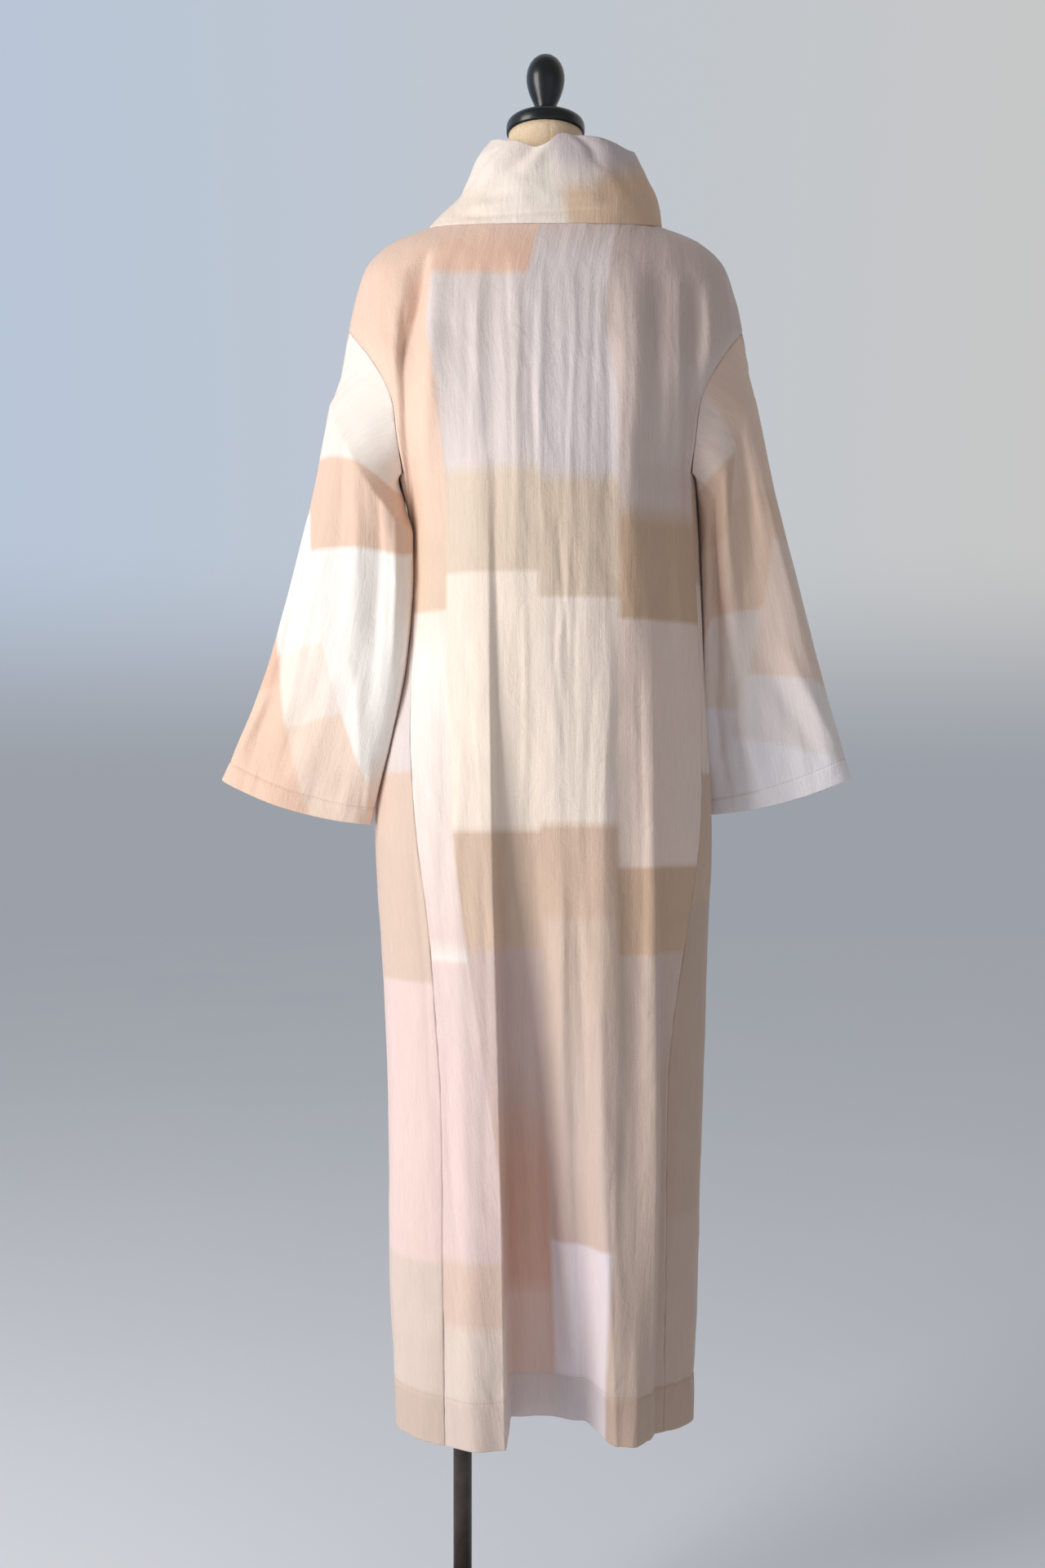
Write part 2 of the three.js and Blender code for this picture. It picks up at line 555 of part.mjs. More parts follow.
function formGeometry() {
  const positions = [];
  const index = [];
  for (const { z, side, back, front } of FORM) {
    for (let c = 0; c < FORM_COLUMNS; c += 1) {
      const turn = 2 * Math.PI * c / FORM_COLUMNS;
      const depth = Math.cos(turn) > 0 ? back : front;
      positions.push(side * Math.sin(turn), -depth * Math.cos(turn), z);
    }
  }
  const at = (r, c) => r * FORM_COLUMNS + (c % FORM_COLUMNS);
  const top = FORM.length - 1;
  const bottomCentre = FORM.length * FORM_COLUMNS;
  positions.push(0, 0, FORM[0].z, 0, 0, FORM[top].z);
  for (let c = 0; c < FORM_COLUMNS; c += 1) {
    for (let r = 0; r < top; r += 1) {
      index.push(at(r, c), at(r, c + 1), at(r + 1, c + 1), at(r, c), at(r + 1, c + 1), at(r + 1, c));
    }
    index.push(bottomCentre, at(0, c + 1), at(0, c));
    index.push(bottomCentre + 1, at(top, c), at(top, c + 1));
  }
  const geometry = new THREE.BufferGeometry();
  geometry.setAttribute('position', new THREE.Float32BufferAttribute(positions, 3));
  geometry.setIndex(index);
  geometry.computeVertexNormals();
  return geometry;
}

// a turned solid from [radius, height] pairs, standing on +Z
function turned(profile) {
  const points = profile.map(([radius, height]) => new THREE.Vector2(radius, height));
  return new THREE.LatheGeometry(points, ROUND_SEGMENTS).rotateX(Math.PI / 2);
}

// quarter round from one radius and height to another
function quarterRound(fromRadius, toRadius, fromZ, toZ, steps) {
  const points = [];
  for (let k = 0; k <= steps; k += 1) {
    const angle = (k / steps) * Math.PI / 2;
    points.push([lerp(toRadius, fromRadius, Math.cos(angle)), lerp(fromZ, toZ, Math.sin(angle))]);
  }
  return points;
}

function capGeometry() {
  const { bottomZ, rim, rimHeight, height } = CAP;
  const rimTop = bottomZ + rimHeight;
  return turned([[0, bottomZ], [rim - 1.5, bottomZ], [rim, bottomZ + 1.5],
    ...quarterRound(rim, rim - height / 2, rimTop, bottomZ + height, 5), [0, bottomZ + height]]);
}

function finialGeometry() {
  const { bottomZ, foot, stem, stemZ, egg, eggZ, topZ } = FINIAL;
  const lower = [0.18, 0.35, 0.65].map((t) => (
    [lerp(stem, egg, Math.sin(t * Math.PI / 2) ** 1.3), lerp(stemZ, eggZ, t)]));
  const upper = quarterRound(egg, 0, eggZ, topZ, 6);
  upper[upper.length - 1][0] = 0;
  return turned([[0, bottomZ], [foot, bottomZ], [stem + 0.5, lerp(bottomZ, stemZ, 0.5)],
    [stem, stemZ], ...lower, ...upper]);
}

function poleGeometry() {
  const { x, radius, topZ, bottomZ } = POLE;
  return turned([[0, bottomZ], [radius, bottomZ], [radius, topZ], [0, topZ]]).translate(x, 0, 0);
}

function baseGeometry() {
  const { radius, rimHeight, hub, hubHeight } = BASE;
  return turned([[0, 0], [radius, 0], [radius, rimHeight - 2], [radius - 3, rimHeight],
    [hub + 10, rimHeight + 8], [hub, hubHeight - 6], [hub - 4, hubHeight], [0, hubHeight]])
    .translate(POLE.x, 0, 0);
}

// ---- assembly ------------------------------------------------------------------------------

const group = new THREE.Group();

function add(name, geometry, color, roughness, metalness = 0) {
  const mesh = new THREE.Mesh(geometry,
    new THREE.MeshStandardMaterial({ color, roughness, metalness }));
  mesh.name = name;
  group.add(mesh);
}

const back = panelGrid('back');
const front = panelGrid('front').map((line) => [...line].reverse());
const sideRight = sideGrid(1);
const sideLeft = sideGrid(-1);

// each panel asks the next one round for the point past its edge, so both rims lie alike
const skirtTop = SKIRT_ROWS.length - 1;
const shoulderStart = skirtTop + ARMHOLE_ROWS;
const past = (before, after, partner) => (row, step) => {
  if (row <= skirtTop) {
    const line = step < 0 ? before[row] : after[row];
    return step < 0 ? line[line.length - 2] : line[1];
  }
  if (row < shoulderStart || !partner) return undefined;
  const line = partner[row];
  return step < 0 ? line[line.length - 2] : line[1];
};
const sewn = (row) => (row <= skirtTop || row >= shoulderStart ? SEAM_GAP / 2 : 0);
const pieces = [
  ['back_panel', back, past(sideLeft, sideRight, front), COLOUR.lavender],
  ['front_panel', front, past(sideRight, sideLeft, back), COLOUR.cream],
  ['side_panel_right', sideRight, past(back, front), COLOUR.white],
  ['side_panel_left', sideLeft, past(front, back), COLOUR.peach],
];
for (const [name, grid, neighbour, colour] of pieces) {
  add(name, clothWall(grid, { neighbour, inset: sewn }), colour, 0.8);
}

for (const [name, side, sides, table, folds, colour] of [
  ['sleeve_left', -1, sideLeft, SLEEVE_LEFT, SLEEVE_FOLDS_LEFT, COLOUR.white],
  ['sleeve_right', 1, sideRight, SLEEVE_RIGHT, SLEEVE_FOLDS_RIGHT, COLOUR.cream],
]) {
  const loop = armholeLoop(side, { back, front, side: sides });
  const grid = sleeveGrid(side, loop, table, folds);
  add(name, clothWall(grid, { closed: true, facing: side }), colour, 0.8);
}

add('collar', clothWall(collarGrid(), { closed: true }), COLOUR.cream, 0.8);
add('form_torso', formGeometry(), COLOUR.linen, 0.9);
add('neck_cap', capGeometry(), COLOUR.black, 0.15);
add('finial', finialGeometry(), COLOUR.black, 0.15);
add('stand_pole', poleGeometry(), COLOUR.iron, 0.45, 0.8);
add('stand_base', baseGeometry(), COLOUR.iron, 0.5, 0.8);

export default group;
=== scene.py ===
import math

import bpy
import numpy as np
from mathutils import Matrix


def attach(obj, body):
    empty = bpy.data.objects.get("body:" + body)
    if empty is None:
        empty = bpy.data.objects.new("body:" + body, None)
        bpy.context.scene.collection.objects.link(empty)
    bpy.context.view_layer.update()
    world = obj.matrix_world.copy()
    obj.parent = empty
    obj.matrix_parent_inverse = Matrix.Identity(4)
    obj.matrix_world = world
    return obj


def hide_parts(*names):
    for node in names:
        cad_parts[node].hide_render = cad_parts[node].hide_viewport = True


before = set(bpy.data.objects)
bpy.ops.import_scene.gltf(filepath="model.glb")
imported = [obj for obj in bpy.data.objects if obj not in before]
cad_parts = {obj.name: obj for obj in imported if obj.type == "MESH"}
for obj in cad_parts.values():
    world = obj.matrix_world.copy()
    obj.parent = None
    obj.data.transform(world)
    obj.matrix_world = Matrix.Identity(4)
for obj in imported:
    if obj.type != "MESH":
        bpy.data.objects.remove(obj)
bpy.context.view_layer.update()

for thing in bpy.context.selected_objects:
    thing.select_set(False)

# ---- Studio -------------------------------------------------------------------------------------
# A plain pale floor that runs softly into pale walls, a large soft window on the left, a weak fill.
# The camera stands level with the cuffs, 1.64 m behind the neck of the form.

eye = bpy.data.objects.new("camera", bpy.data.cameras.new("camera"))
bpy.context.collection.objects.link(eye)
eye.location = (-0.025, -1.640, 0.970)
eye.rotation_euler = (math.pi / 2, 0, 0)        # level, looking along +Y
eye.data.sensor_width = 36
eye.data.lens = 34.7
bpy.context.scene.camera = eye


def paint(shade):
    """A colour given as sRGB hex, as the linear values that Blender works in."""
    parts = [int(shade[i:i + 2], 16) / 255 for i in (1, 3, 5)]
    return (*[c / 12.92 if c <= 0.04045 else ((c + 0.055) / 1.055) ** 2.4 for c in parts], 1)


def node(material, kind, inputs=(), **settings):
    """Adds a node with its settings. inputs maps a socket to a value or to the socket feeding it."""
    new = material.node_tree.nodes.new("ShaderNode" + kind)
    for key, value in settings.items():
        setattr(new, key, value)
    for key, value in dict(inputs).items():
        if isinstance(value, bpy.types.NodeSocket):
            material.node_tree.links.new(value, new.inputs[key])
        else:
            new.inputs[key].default_value = value
    return new


def noise(material, place, stretch=(1, 1, 1), scale=1.0, detail=2.0, **more):
    """Noise over a place on a piece, stretched along its axes and then scaled."""
    if stretch != (1, 1, 1):
        place = node(material, "Mapping", {"Vector": place, "Scale": stretch}).outputs[0]
    return node(material, "TexNoise", {"Vector": place, "Scale": scale, "Detail": detail,
                                       **more}).outputs["Fac"]


def bump(material, height, strength, distance, over=None):
    """A bump from a height, laid over another bump if that is given."""
    sockets = {"Strength": strength, "Distance": distance, "Height": height}
    return node(material, "Bump", {**sockets, "Normal": over} if over else sockets).outputs[0]


def mixed(material, share, first, second):
    """The colour that lies this share of the way from the first to the second."""
    return node(material, "Mix", {0: share, 6: first, 7: second}, data_type="RGBA").outputs[2]


def finish_of(name, surface):
    """A new material whose Principled shader has these settings; returns it and the shader."""
    material = bpy.data.materials.new(name)
    material.use_nodes = True
    shader = material.node_tree.nodes["Principled BSDF"]
    for key, value in surface.items():
        shader.inputs[key].default_value = value
    return material, shader


bpy.ops.mesh.primitive_grid_add(x_subdivisions=8, y_subdivisions=8, size=16, location=(0, 0, 0))
floor = bpy.context.active_object
floor.name = "floor"
# smooth painted concrete, pale grey: even and matt, with a very faint cloudiness
concrete, concrete_shader = finish_of("painted_concrete", {"Roughness": 0.75})
cloud = noise(concrete, node(concrete, "TexCoord").outputs["Object"], scale=1.4, detail=3.0)
tone = mixed(concrete, cloud, paint("#E6EBF2"), paint("#EDF0F5"))
concrete.node_tree.links.new(tone, concrete_shader.inputs["Base Color"])
floor.data.materials.append(concrete)

room = bpy.data.worlds.new("room")
room.use_nodes = True
# pale walls: cool behind the form and to its left, neutral to its right, dimmer on the camera's
# side, and the floor's own tone at the foot of them
ways = node(room, "SeparateXYZ", {0: node(room, "TexCoord").outputs["Generated"]}).outputs
sideways = node(room, "MapRange", {0: ways[0], 1: -0.35, 2: 0.45}).outputs[0]
walls = mixed(room, sideways, paint("#BFCDE0"), paint("#D1CFCA"))
for way, start, end, shade in ((1, -0.2, 0.3, "#938E8A"), (2, 0.0, 0.16, "#A2A7AF")):
    near = node(room, "MapRange", {0: ways[way], 1: start, 2: end}, interpolation_type="SMOOTHSTEP")
    walls = mixed(room, near.outputs[0], paint(shade), walls)
room.node_tree.links.new(walls, room.node_tree.nodes["Background"].inputs["Color"])
room.node_tree.nodes["Background"].inputs["Strength"].default_value = 0.92
bpy.context.scene.world = room

for name, place, aim, width, height, watts, shade in [
    ("window_light", (-2.3, -1.45, 1.6), (0, 0, 0.9), 1.2, 2.2, 65, "#FFFCF8"),
    ("fill_light", (1.2, -2.6, 1.3), (0, 0, 0.9), 2.0, 2.0, 2, "#FFF4EA"),
]:
    lamp = bpy.data.objects.new(name, bpy.data.lights.new(name, "AREA"))
    bpy.context.collection.objects.link(lamp)
    lamp.data.shape, lamp.data.size, lamp.data.size_y = "RECTANGLE", width, height
    lamp.data.energy = watts
    lamp.data.color = paint(shade)[:3]
    lamp.location = place
    toward = [a - b for a, b in zip(aim, place)]
    lamp.rotation_euler = (math.atan2(math.hypot(toward[0], toward[1]), -toward[2]), 0,
                           math.atan2(toward[1], toward[0]) - math.pi / 2)
bpy.context.scene.view_settings.view_transform = "Standard"

# ---- Back panel ---------------------------------------------------------------------------------
# Fine plain-woven cotton, one piece from the neck seam to the hem with dropped shoulders. It hangs
# in two flared folds with a deep valley between them, and many faint vertical creases. It is sewn
# to the side panels, sleeves and collar by plain seams, pressed open. Sizes are in millimetres.

CLOTH_THICK = 0.9
HEM_Z = 284             # height of the hem's edge over the floor
HEM_DEEP = 50           # the hem is turned up this far
UNDERARM = np.array(1300.0)
ARMHOLE_ROWS = 7        # rows of a panel beside the armhole, then up to the neck
UPPER_ROWS = 11
CORNER = 0.94           # below 1, the body's section is a little squarer than an ellipse
OUTWARD = {"back": -1, "front": 1}      # along Y


def table(names, *rows):
    """A table with named columns, one row for each section or fold."""
    return {name: np.array(column, float) for name, column in zip(names.split(), zip(*rows))}


def troughs(*rows):
    """A table of troughs or creases: the places of both ends, the width and the depth."""
    return table("top_x top_z low_x low_z width depth", *rows)


def spaced(start, end, count, *more):
    """Even places from start to end, with some more between them."""
    return np.unique(np.concatenate([np.linspace(start, end, count), more]))


BODY = table(
    "z left right back front",
    (284, 160, 160, 62, 82), (450, 168, 166, 76, 92), (640, 170, 171, 88, 102),
    (780, 176, 175, 97, 110), (930, 184, 180, 104, 116), (1010, 174, 176, 107, 118),
    (1090, 158, 172, 109, 120), (1160, 149, 169, 110, 121), (1240, 147, 165, 112, 121),
    (1300, 158, 161, 113, 120))
SEAMS = table(
    "z back_left back_right front_left front_right",
    (284, 105, 124, 112, 112), (450, 107, 126, 116, 116), (640, 109, 127, 122, 122),
    (720, 114, 133, 128, 128), (820, 122, 149, 136, 138), (930, 136, 163, 145, 146),
    (1035, 142, 165, 146, 152), (1160, 140, 160, 138, 154), (1300, 152, 154, 151, 153))
FOLD_HEIGHTS = np.array([284.0, 600.0, 930.0, 1300.0])
BACK_FOLDS = table(
    "columns hem_x knee_x hip_x blade_x hem_out knee_out hip_out blade_out",
    (4, 0, 0, 0, 0, 24, 12, 4, 0), (5, -74, -82, -98, -104, 33, 20, 7, 0),
    (2, -43, -48, -57, -62, 24, 19, 10, 1), (5, -37, -41, -48, -52, -60, -36, -7, 0),
    (5, 0, -12, -20, -22, -64, -34, -9, 0), (5, 38, 26, 16, 14, -50, -14, -2, 0),
    (4, 74, 62, 56, 52, 20, 9, 4, 0), (3, 92, 90, 84, 80, 25, 5, -2, 0),
    (2, 108, 114, 110, 104, 13, 12, 6, 0), (4, 115, 121, 118, 114, -2, -10, -5, 0),
    (0, 0, 0, 0, 0, -2, -7, -2, 0))
ARMHOLE = table("step x depth z", (0.00, 0, 0, 1300), (0.25, 157, 56, 1336),
                (0.50, 163, 64, 1376), (0.75, 184, 50, 1416), (1.00, 213, 0, 1460))
SHOULDER = table("step x z", (0.00, 213, 1460), (0.25, 205, 1495), (0.50, 192, 1533),
                 (0.75, 163, 1559), (1.00, 126, 1573))
CENTRE = table("row back_y back_z front_y front_z", (0, -113, 1300, 120, 1300),
               (0.35, -116, 1380, 121, 1376), (0.64, -111, 1440, 110, 1434),
               (0.85, -93, 1505, 93, 1492), (1, -72, 1552, 82, 1534))
# long soft troughs that hang from the shoulders, as the solid has them
BACK_TROUGHS = troughs(
    (-134, 1515, -146, 1150, 11, 12), (-96, 1450, -92, 1060, 15, 2), (-55, 1500, -56, 1060, 12, 3),
    (-24, 1490, -18, 1120, 10, 2), (6, 1480, 10, 1040, 11, 2), (34, 1500, 30, 1150, 10, 1.5),
    (62, 1490, 60, 1050, 12, 3), (116, 1500, 112, 1050, 13, 6), (158, 1500, 146, 1180, 12, 9))
# finer creases; a depth below 0 is a ridge
BACK_CREASES = troughs(
    (-127, 1524, -152, 1375, 4.5, 10), (-150, 1470, -140, 1170, 5, 8), (150, 1490, 147, 1210, 6, 7),
    (168, 1490, 158, 1330, 6, -4), (-118, 1512, -128, 1190, 11, -6),
    (84, 1515, 88, 850, 17, -8), (-26, 1515, -34, 1080, 15, -3), (128, 1505, 130, 980, 9, 5),
    (-84, 1470, -80, 1180, 5, 1.6), (-70, 1500, -66, 1230, 4, -1.4), (-40, 1510, -36, 1150, 4, 1.8),
    (-31, 1480, -30, 1240, 3.5, -1.3), (-8, 1505, -4, 1190, 4, -1.5), (-14, 1460, -8, 1100, 3.5, 1.6),
    (20, 1500, 18, 1200, 4, 1.7), (27, 1490, 24, 1180, 3, -1.3), (48, 1505, 46, 1150, 4, 1.8),
    (56, 1480, 55, 1240, 3.5, -1.4), (82, 1500, 78, 1190, 4, 1.6), (110, 1470, 106, 1220, 5, 2.2),
    (128, 1500, 126, 1200, 5, -2.0), (14, 1240, 20, 1020, 3, 1.8), (21, 1225, 12, 1050, 3, -1.4),
    (6, 1180, 16, 980, 3, 1.4), (31, 1180, 27, 940, 4, 1.4), (-20, 1150, -26, 900, 5, -1.6),
    (62, 1130, 58, 820, 5, -1.8), (44, 1080, 40, 700, 5, 1.6), (74, 1060, 76, 760, 5, 1.8),
    (96, 1080, 98, 640, 5, 2.0), (-110, 1080, -98, 640, 6, 1.8), (-90, 1000, -84, 520, 6, -2.0),
    (-100, 700, -92, 330, 6, 2.0), (-66, 900, -60, 420, 5, 1.6), (14, 900, 22, 430, 6, -2.6),
    (0, 820, 8, 380, 5, 2.0), (34, 860, 44, 420, 5, 2.4), (52, 760, 60, 340, 6, -2.2),
    (78, 640, 84, 330, 6, 2.2), (-22, 700, -16, 320, 6, -2.0), (66, 560, 66, 300, 5, 1.8))


def read(rows, by, name, at):
    """One named column of a table, read smoothly between its rows."""
    x, y = rows[by], rows[name]
    at = np.clip(np.asarray(at, float), x[0], x[-1])
    slopes = np.diff(y) / np.diff(x)
    i = np.clip(np.searchsorted(x, at, side="right") - 1, 0, len(slopes) - 1)
    here, span = slopes[i], x[i + 1] - x[i]

    def limit(other, inside):
        level = np.sign(here) * np.minimum(abs(other + here) / 2, 3 * np.minimum(abs(here), abs(other)))
        return np.where(inside, np.where(other * here <= 0, 0, level), here)
    start = limit(slopes[np.maximum(i - 1, 0)], i > 0)
    end = limit(slopes[np.minimum(i + 1, len(slopes) - 1)], i + 2 <= len(slopes))
    s = (at - x[i]) / span
    return (y[i] * (1 + 2 * s) * (1 - s) ** 2 + start * span * s * (1 - s) ** 2
            + y[i + 1] * s * s * (3 - 2 * s) - end * span * s * s * (1 - s))


def smooth(t):
    """0 to 1 with soft ends."""
    t = np.clip(t, 0, 1)
    return t * t * (3 - 2 * t)


def across(turn):
    """How far out to the side the body's section is at a turn from its middle, as a share."""
    return np.sign(np.sin(turn)) * abs(np.sin(turn)) ** CORNER


def along(turn):
    """The same for how far out to the back or front."""
    return np.sign(np.cos(turn)) * abs(np.cos(turn)) ** CORNER


def turn_at(share):
    """The turn at which the section is this share of its half-width out."""
    return np.sign(share) * np.arcsin(np.minimum(1, abs(share)) ** (1 / CORNER))


def half_width(side, z):
    """The body's half-width at a height, on the left where side is below 0."""
    return np.where(side < 0, read(BODY, "z", "left", z), read(BODY, "z", "right", z))


def fold_at(folds, what, i, z):
    """A fold's place or height out of the smooth section, between its four named heights."""
    values = [folds[f"{name}_{what}"][i] for name in ("hem", "knee", "hip", "blade")]
    return read({"z": FOLD_HEIGHTS, "value": np.array(values)}, "z", "value", z)


def seam_turn(face, side, z):
    """The turn at which the side seam of the back or front lies at a height."""
    seam = read(SEAMS, "z", f"{face}_{'left' if side < 0 else 'right'}", z)
    return side * turn_at(seam / half_width(side, z))


def fold_line(face, folds, i, z):
    """Turn round the body and distance out of fold line i, over an array of heights."""
    last = len(folds["columns"]) - 1
    out = fold_at(folds, "out", i, z)
    if i in (0, last):
        return seam_turn(face, -1 if i == 0 else 1, z), out
    x = fold_at(folds, "x", i, z)
    return turn_at(x / half_width(x, z)), out


def section_point(face, turn, out, z):
    """A point of the back or front at a turn and height, and this far out of the section."""
    return np.stack([across(turn) * half_width(turn, z),
                     OUTWARD[face] * (along(turn) * read(BODY, "z", face, z) + out), z + 0 * turn], -1)


def armhole_edge(face, side, row):
    """The edge of the back or front round the armhole, from the underarm (row 0) to the top."""
    turn = abs(seam_turn(face, side, UNDERARM))
    corner = section_point(face, np.array(side * turn), 0, UNDERARM)
    hole = {**ARMHOLE, "x": ARMHOLE["x"].copy(), "depth": ARMHOLE["depth"].copy()}
    hole["x"][0], hole["depth"][0] = abs(corner[0]), abs(corner[1])
    step = row / ARMHOLE_ROWS
    return np.stack([side * read(hole, "step", "x", step), OUTWARD[face] * read(hole, "step", "depth", step),
                     read(hole, "step", "z", step)], -1)


def trough_depth(rows, x, z, wander=0.0):
    """Depth of all the troughs of a table at points of a panel."""
    depth = np.zeros_like(x)
    for i, (tx, tz, lx, lz, width, deep) in enumerate(zip(*rows.values())):
        t = (tz - z) / (tz - lz)
        inside = (t > 0) & (t < 1)
        t = np.clip(t, 1e-6, 1)
        middle = tx + (lx - tx) * t + wander * np.sin(t * (5 + i % 4) + i * 1.7)
        depth += inside * deep * np.exp(-((x - middle) / width) ** 2) * np.sin(np.pi * np.sqrt(t))
    return depth


def panel_surface(face, folds, hanging, places, heights, rows):
    """Outer points of the back or front: columns at places (counted in the folds' columns), rows at
    heights of the skirt and then at rows above the underarm."""
    starts = np.concatenate([[0], np.cumsum(folds["columns"][:-1])])
    segment = np.clip(np.searchsorted(starts, places, side="right") - 1, 0, len(starts) - 2)
    t = (places - starts[segment]) / folds["columns"][segment]

    def columns_at(z):
        lines = [fold_line(face, folds, i, z) for i in range(len(starts))]
        turns = np.stack([line[0] for line in lines], -1)
        outs = np.stack([line[1] for line in lines], -1)
        ease = smooth(t)
        return (turns[..., segment] * (1 - t) + turns[..., segment + 1] * t,
                outs[..., segment] * (1 - ease) + outs[..., segment + 1] * ease)

    def pressed(points):
        room = np.minimum(np.linalg.norm(points - points[:, :1], axis=-1),
                          np.linalg.norm(points - points[:, -1:], axis=-1)) / 16
        points = points.copy()
        deep = trough_depth(hanging, points[..., 0], points[..., 2])
        points[..., 1] -= OUTWARD[face] * deep * smooth(room)
        return points
    turn, out = columns_at(heights)
    lower = section_point(face, turn, out, heights[:, None] + 0 * turn)
    turn = columns_at(UNDERARM[None])[0]
    row = rows[:, None]
    opened = smooth(row / ARMHOLE_ROWS)
    share = row / UPPER_ROWS
    edges = {}
    for side in (-1, 1):
        start = abs(seam_turn(face, side, UNDERARM))
        past = (row - ARMHOLE_ROWS) / (UPPER_ROWS - ARMHOLE_ROWS)
        shoulder = (side * read(SHOULDER, "step", "x", past), 0 * past, read(SHOULDER, "step", "z", past))
        hole = np.moveaxis(armhole_edge(face, side, row), -1, 0)
        edges[side] = (start, start + (np.pi / 2 - start) * opened,
                       *[np.where(row <= ARMHOLE_ROWS, a, b) for a, b in zip(hole, shoulder)])
    start, limit, ex, ey, ez = [np.where(turn < 0, a, b) for a, b in zip(edges[-1], edges[1])]
    turn = turn * limit / start
    inward = (along(turn) - along(limit)) / (1 - along(limit))
    centre_y, centre_z = (read(CENTRE, "row", f"{face}_{k}", share) for k in "yz")
    upper = np.stack([ex * abs(across(turn) / across(limit)), ey + (centre_y - ey) * inward,
                      ez + (centre_z - ez) * inward], -1)
    return pressed(np.concatenate([lower, upper]))


def unit(vectors):
    return vectors / np.maximum(np.linalg.norm(vectors, axis=-1, keepdims=True), 1e-9)


def normals_of(points, closed=False):
    """Outward unit normals of a grid of points, columns running right as seen from outside."""
    if closed:
        over = np.roll(points, -1, 1) - np.roll(points, 1, 1)
    else:
        over = np.gradient(points, axis=1)
    return unit(np.cross(over, np.gradient(points, axis=0)))


def rumple(u, v, wide, tall, seed):
    """Smooth random waves between -1 and 1, of one size across and another along the cloth."""
    grid = np.random.default_rng(seed).uniform(-1, 1, (64, 64))
    a, b = u / wide + 31.7, v / tall + 17.3
    i, j = np.floor(a).astype(int), np.floor(b).astype(int)
    s, t = smooth(a - i), smooth(b - j)
    pick = lambda di, dj: grid[(i + di) % 64, (j + dj) % 64]
    return ((pick(0, 0) * (1 - s) + pick(1, 0) * s) * (1 - t)
            + (pick(0, 1) * (1 - s) + pick(1, 1) * s) * t)


def crisp(u, v, wide, tall, seed):
    """The same waves with narrow sharp crests, as creases pressed into cotton have."""
    return 1 - 2 * abs(rumple(u, v, wide, tall, seed)) ** 0.7


def cut_of(points, centre=None):
    """Places on the flat cut: distance across from the middle column and up from the lowest row."""
    steps = np.linalg.norm(np.diff(points, axis=1), axis=-1)
    u = np.concatenate([np.zeros((len(points), 1)), np.cumsum(steps, 1)], 1)
    middle = points.shape[1] // 2 if centre is None else centre
    u = u - u[:, middle:middle + 1]
    rise = np.linalg.norm(np.diff(points, axis=0), axis=-1)
    v = np.concatenate([np.zeros((1, points.shape[1])), np.cumsum(rise, 0)], 0)
    return u, np.tile(v.mean(1, keepdims=True), (1, points.shape[1]))


def piece_of(name, points, faces, flat_ends=0):
    """A smooth-shaded object from points in millimetres; its last faces may be left flat."""
    mesh = bpy.data.meshes.new(name)
    mesh.from_pydata((points / 1000).tolist(), [], faces)
    mesh.polygons.foreach_set("use_smooth", [i < len(faces) - flat_ends for i in range(len(faces))])
    piece = bpy.data.objects.new(name, mesh)
    bpy.context.collection.objects.link(piece)
    return piece


def shell(name, outer, u, v, closed=False, thick=CLOTH_THICK):
    """A closed thin shell of cloth on a grid of outer points in millimetres, its rims rounded, with
    the flat cut (metres) as its UV map. Returns the object and the outer normals."""
    normal = normals_of(outer, closed)
    inner = outer - normal * thick
    rows, columns = outer.shape[:2]
    low, top = [(outer[end] + inner[end]) / 2 + thick * 0.4 * unit(outer[end] - outer[inside])
                for end, inside in ((0, 1), (-1, -2))]
    loop = np.concatenate([low[None], outer, top[None], inner[::-1]])       # one closed ring of rows
    rows_of = np.concatenate([[0], np.arange(rows), [rows - 1], np.arange(rows)[::-1]])
    count = len(loop)
    at = (np.arange(count)[:, None] * columns + np.arange(columns)[None]).astype(np.int64)
    spans = columns if closed else columns - 1
    c0, c1 = np.arange(spans), (np.arange(spans) + 1) % columns
    r0, r1 = np.arange(count), (np.arange(count) + 1) % count
    corners = ((r0, c0), (r0, c1), (r1, c1), (r1, c0))
    quads = np.stack([at[r][:, c] for r, c in corners], -1).reshape(-1, 4)
    corner_u, corner_v = [np.stack([grid[rows_of[r]][:, c] for r, c in corners], -1) for grid in (u, v)]
    if closed:      # the last column meets the first, so its cut runs on past the seam
        width = u[:, -1] + np.linalg.norm(outer[:, 0] - outer[:, -1], axis=-1)
        corner_u[:, -1, 1], corner_u[:, -1, 2] = width[rows_of[r0]], width[rows_of[r1]]
    uv = np.stack([corner_u.reshape(-1), corner_v.reshape(-1)], -1) / 1000
    faces = quads.tolist()
    if not closed:      # the two side rims, strip by strip between outer and inner rows
        sides = []
        for edge, turned in ((0, False), (columns - 1, True)):
            for r in range(rows - 1):
                a, b = at[1 + r, edge], at[2 + r, edge]
                c, d = at[count - 2 - r, edge], at[count - 1 - r, edge]
                sides.append([a, b, c, d] if not turned else [d, c, b, a])
            sides.append([at[0, edge], at[1, edge], at[count - 1, edge]][::-1 if turned else 1])
            sides.append([at[rows, edge], at[rows + 1, edge], at[rows + 2, edge]][::-1 if turned else 1])
        extra = [[u[rows_of[i // columns], i % columns] / 1000, v[rows_of[i // columns], 0] / 1000]
                 for face in sides for i in face]
        uv = np.concatenate([uv, np.array(extra)])
        faces += [[int(i) for i in face] for face in sides]
    piece = piece_of(name, loop.reshape(-1, 3), faces)
    piece.data.uv_layers.new(name="cut").data.foreach_set("uv", uv.reshape(-1).astype(np.float32))
    piece.data.update()
    return piece, normal


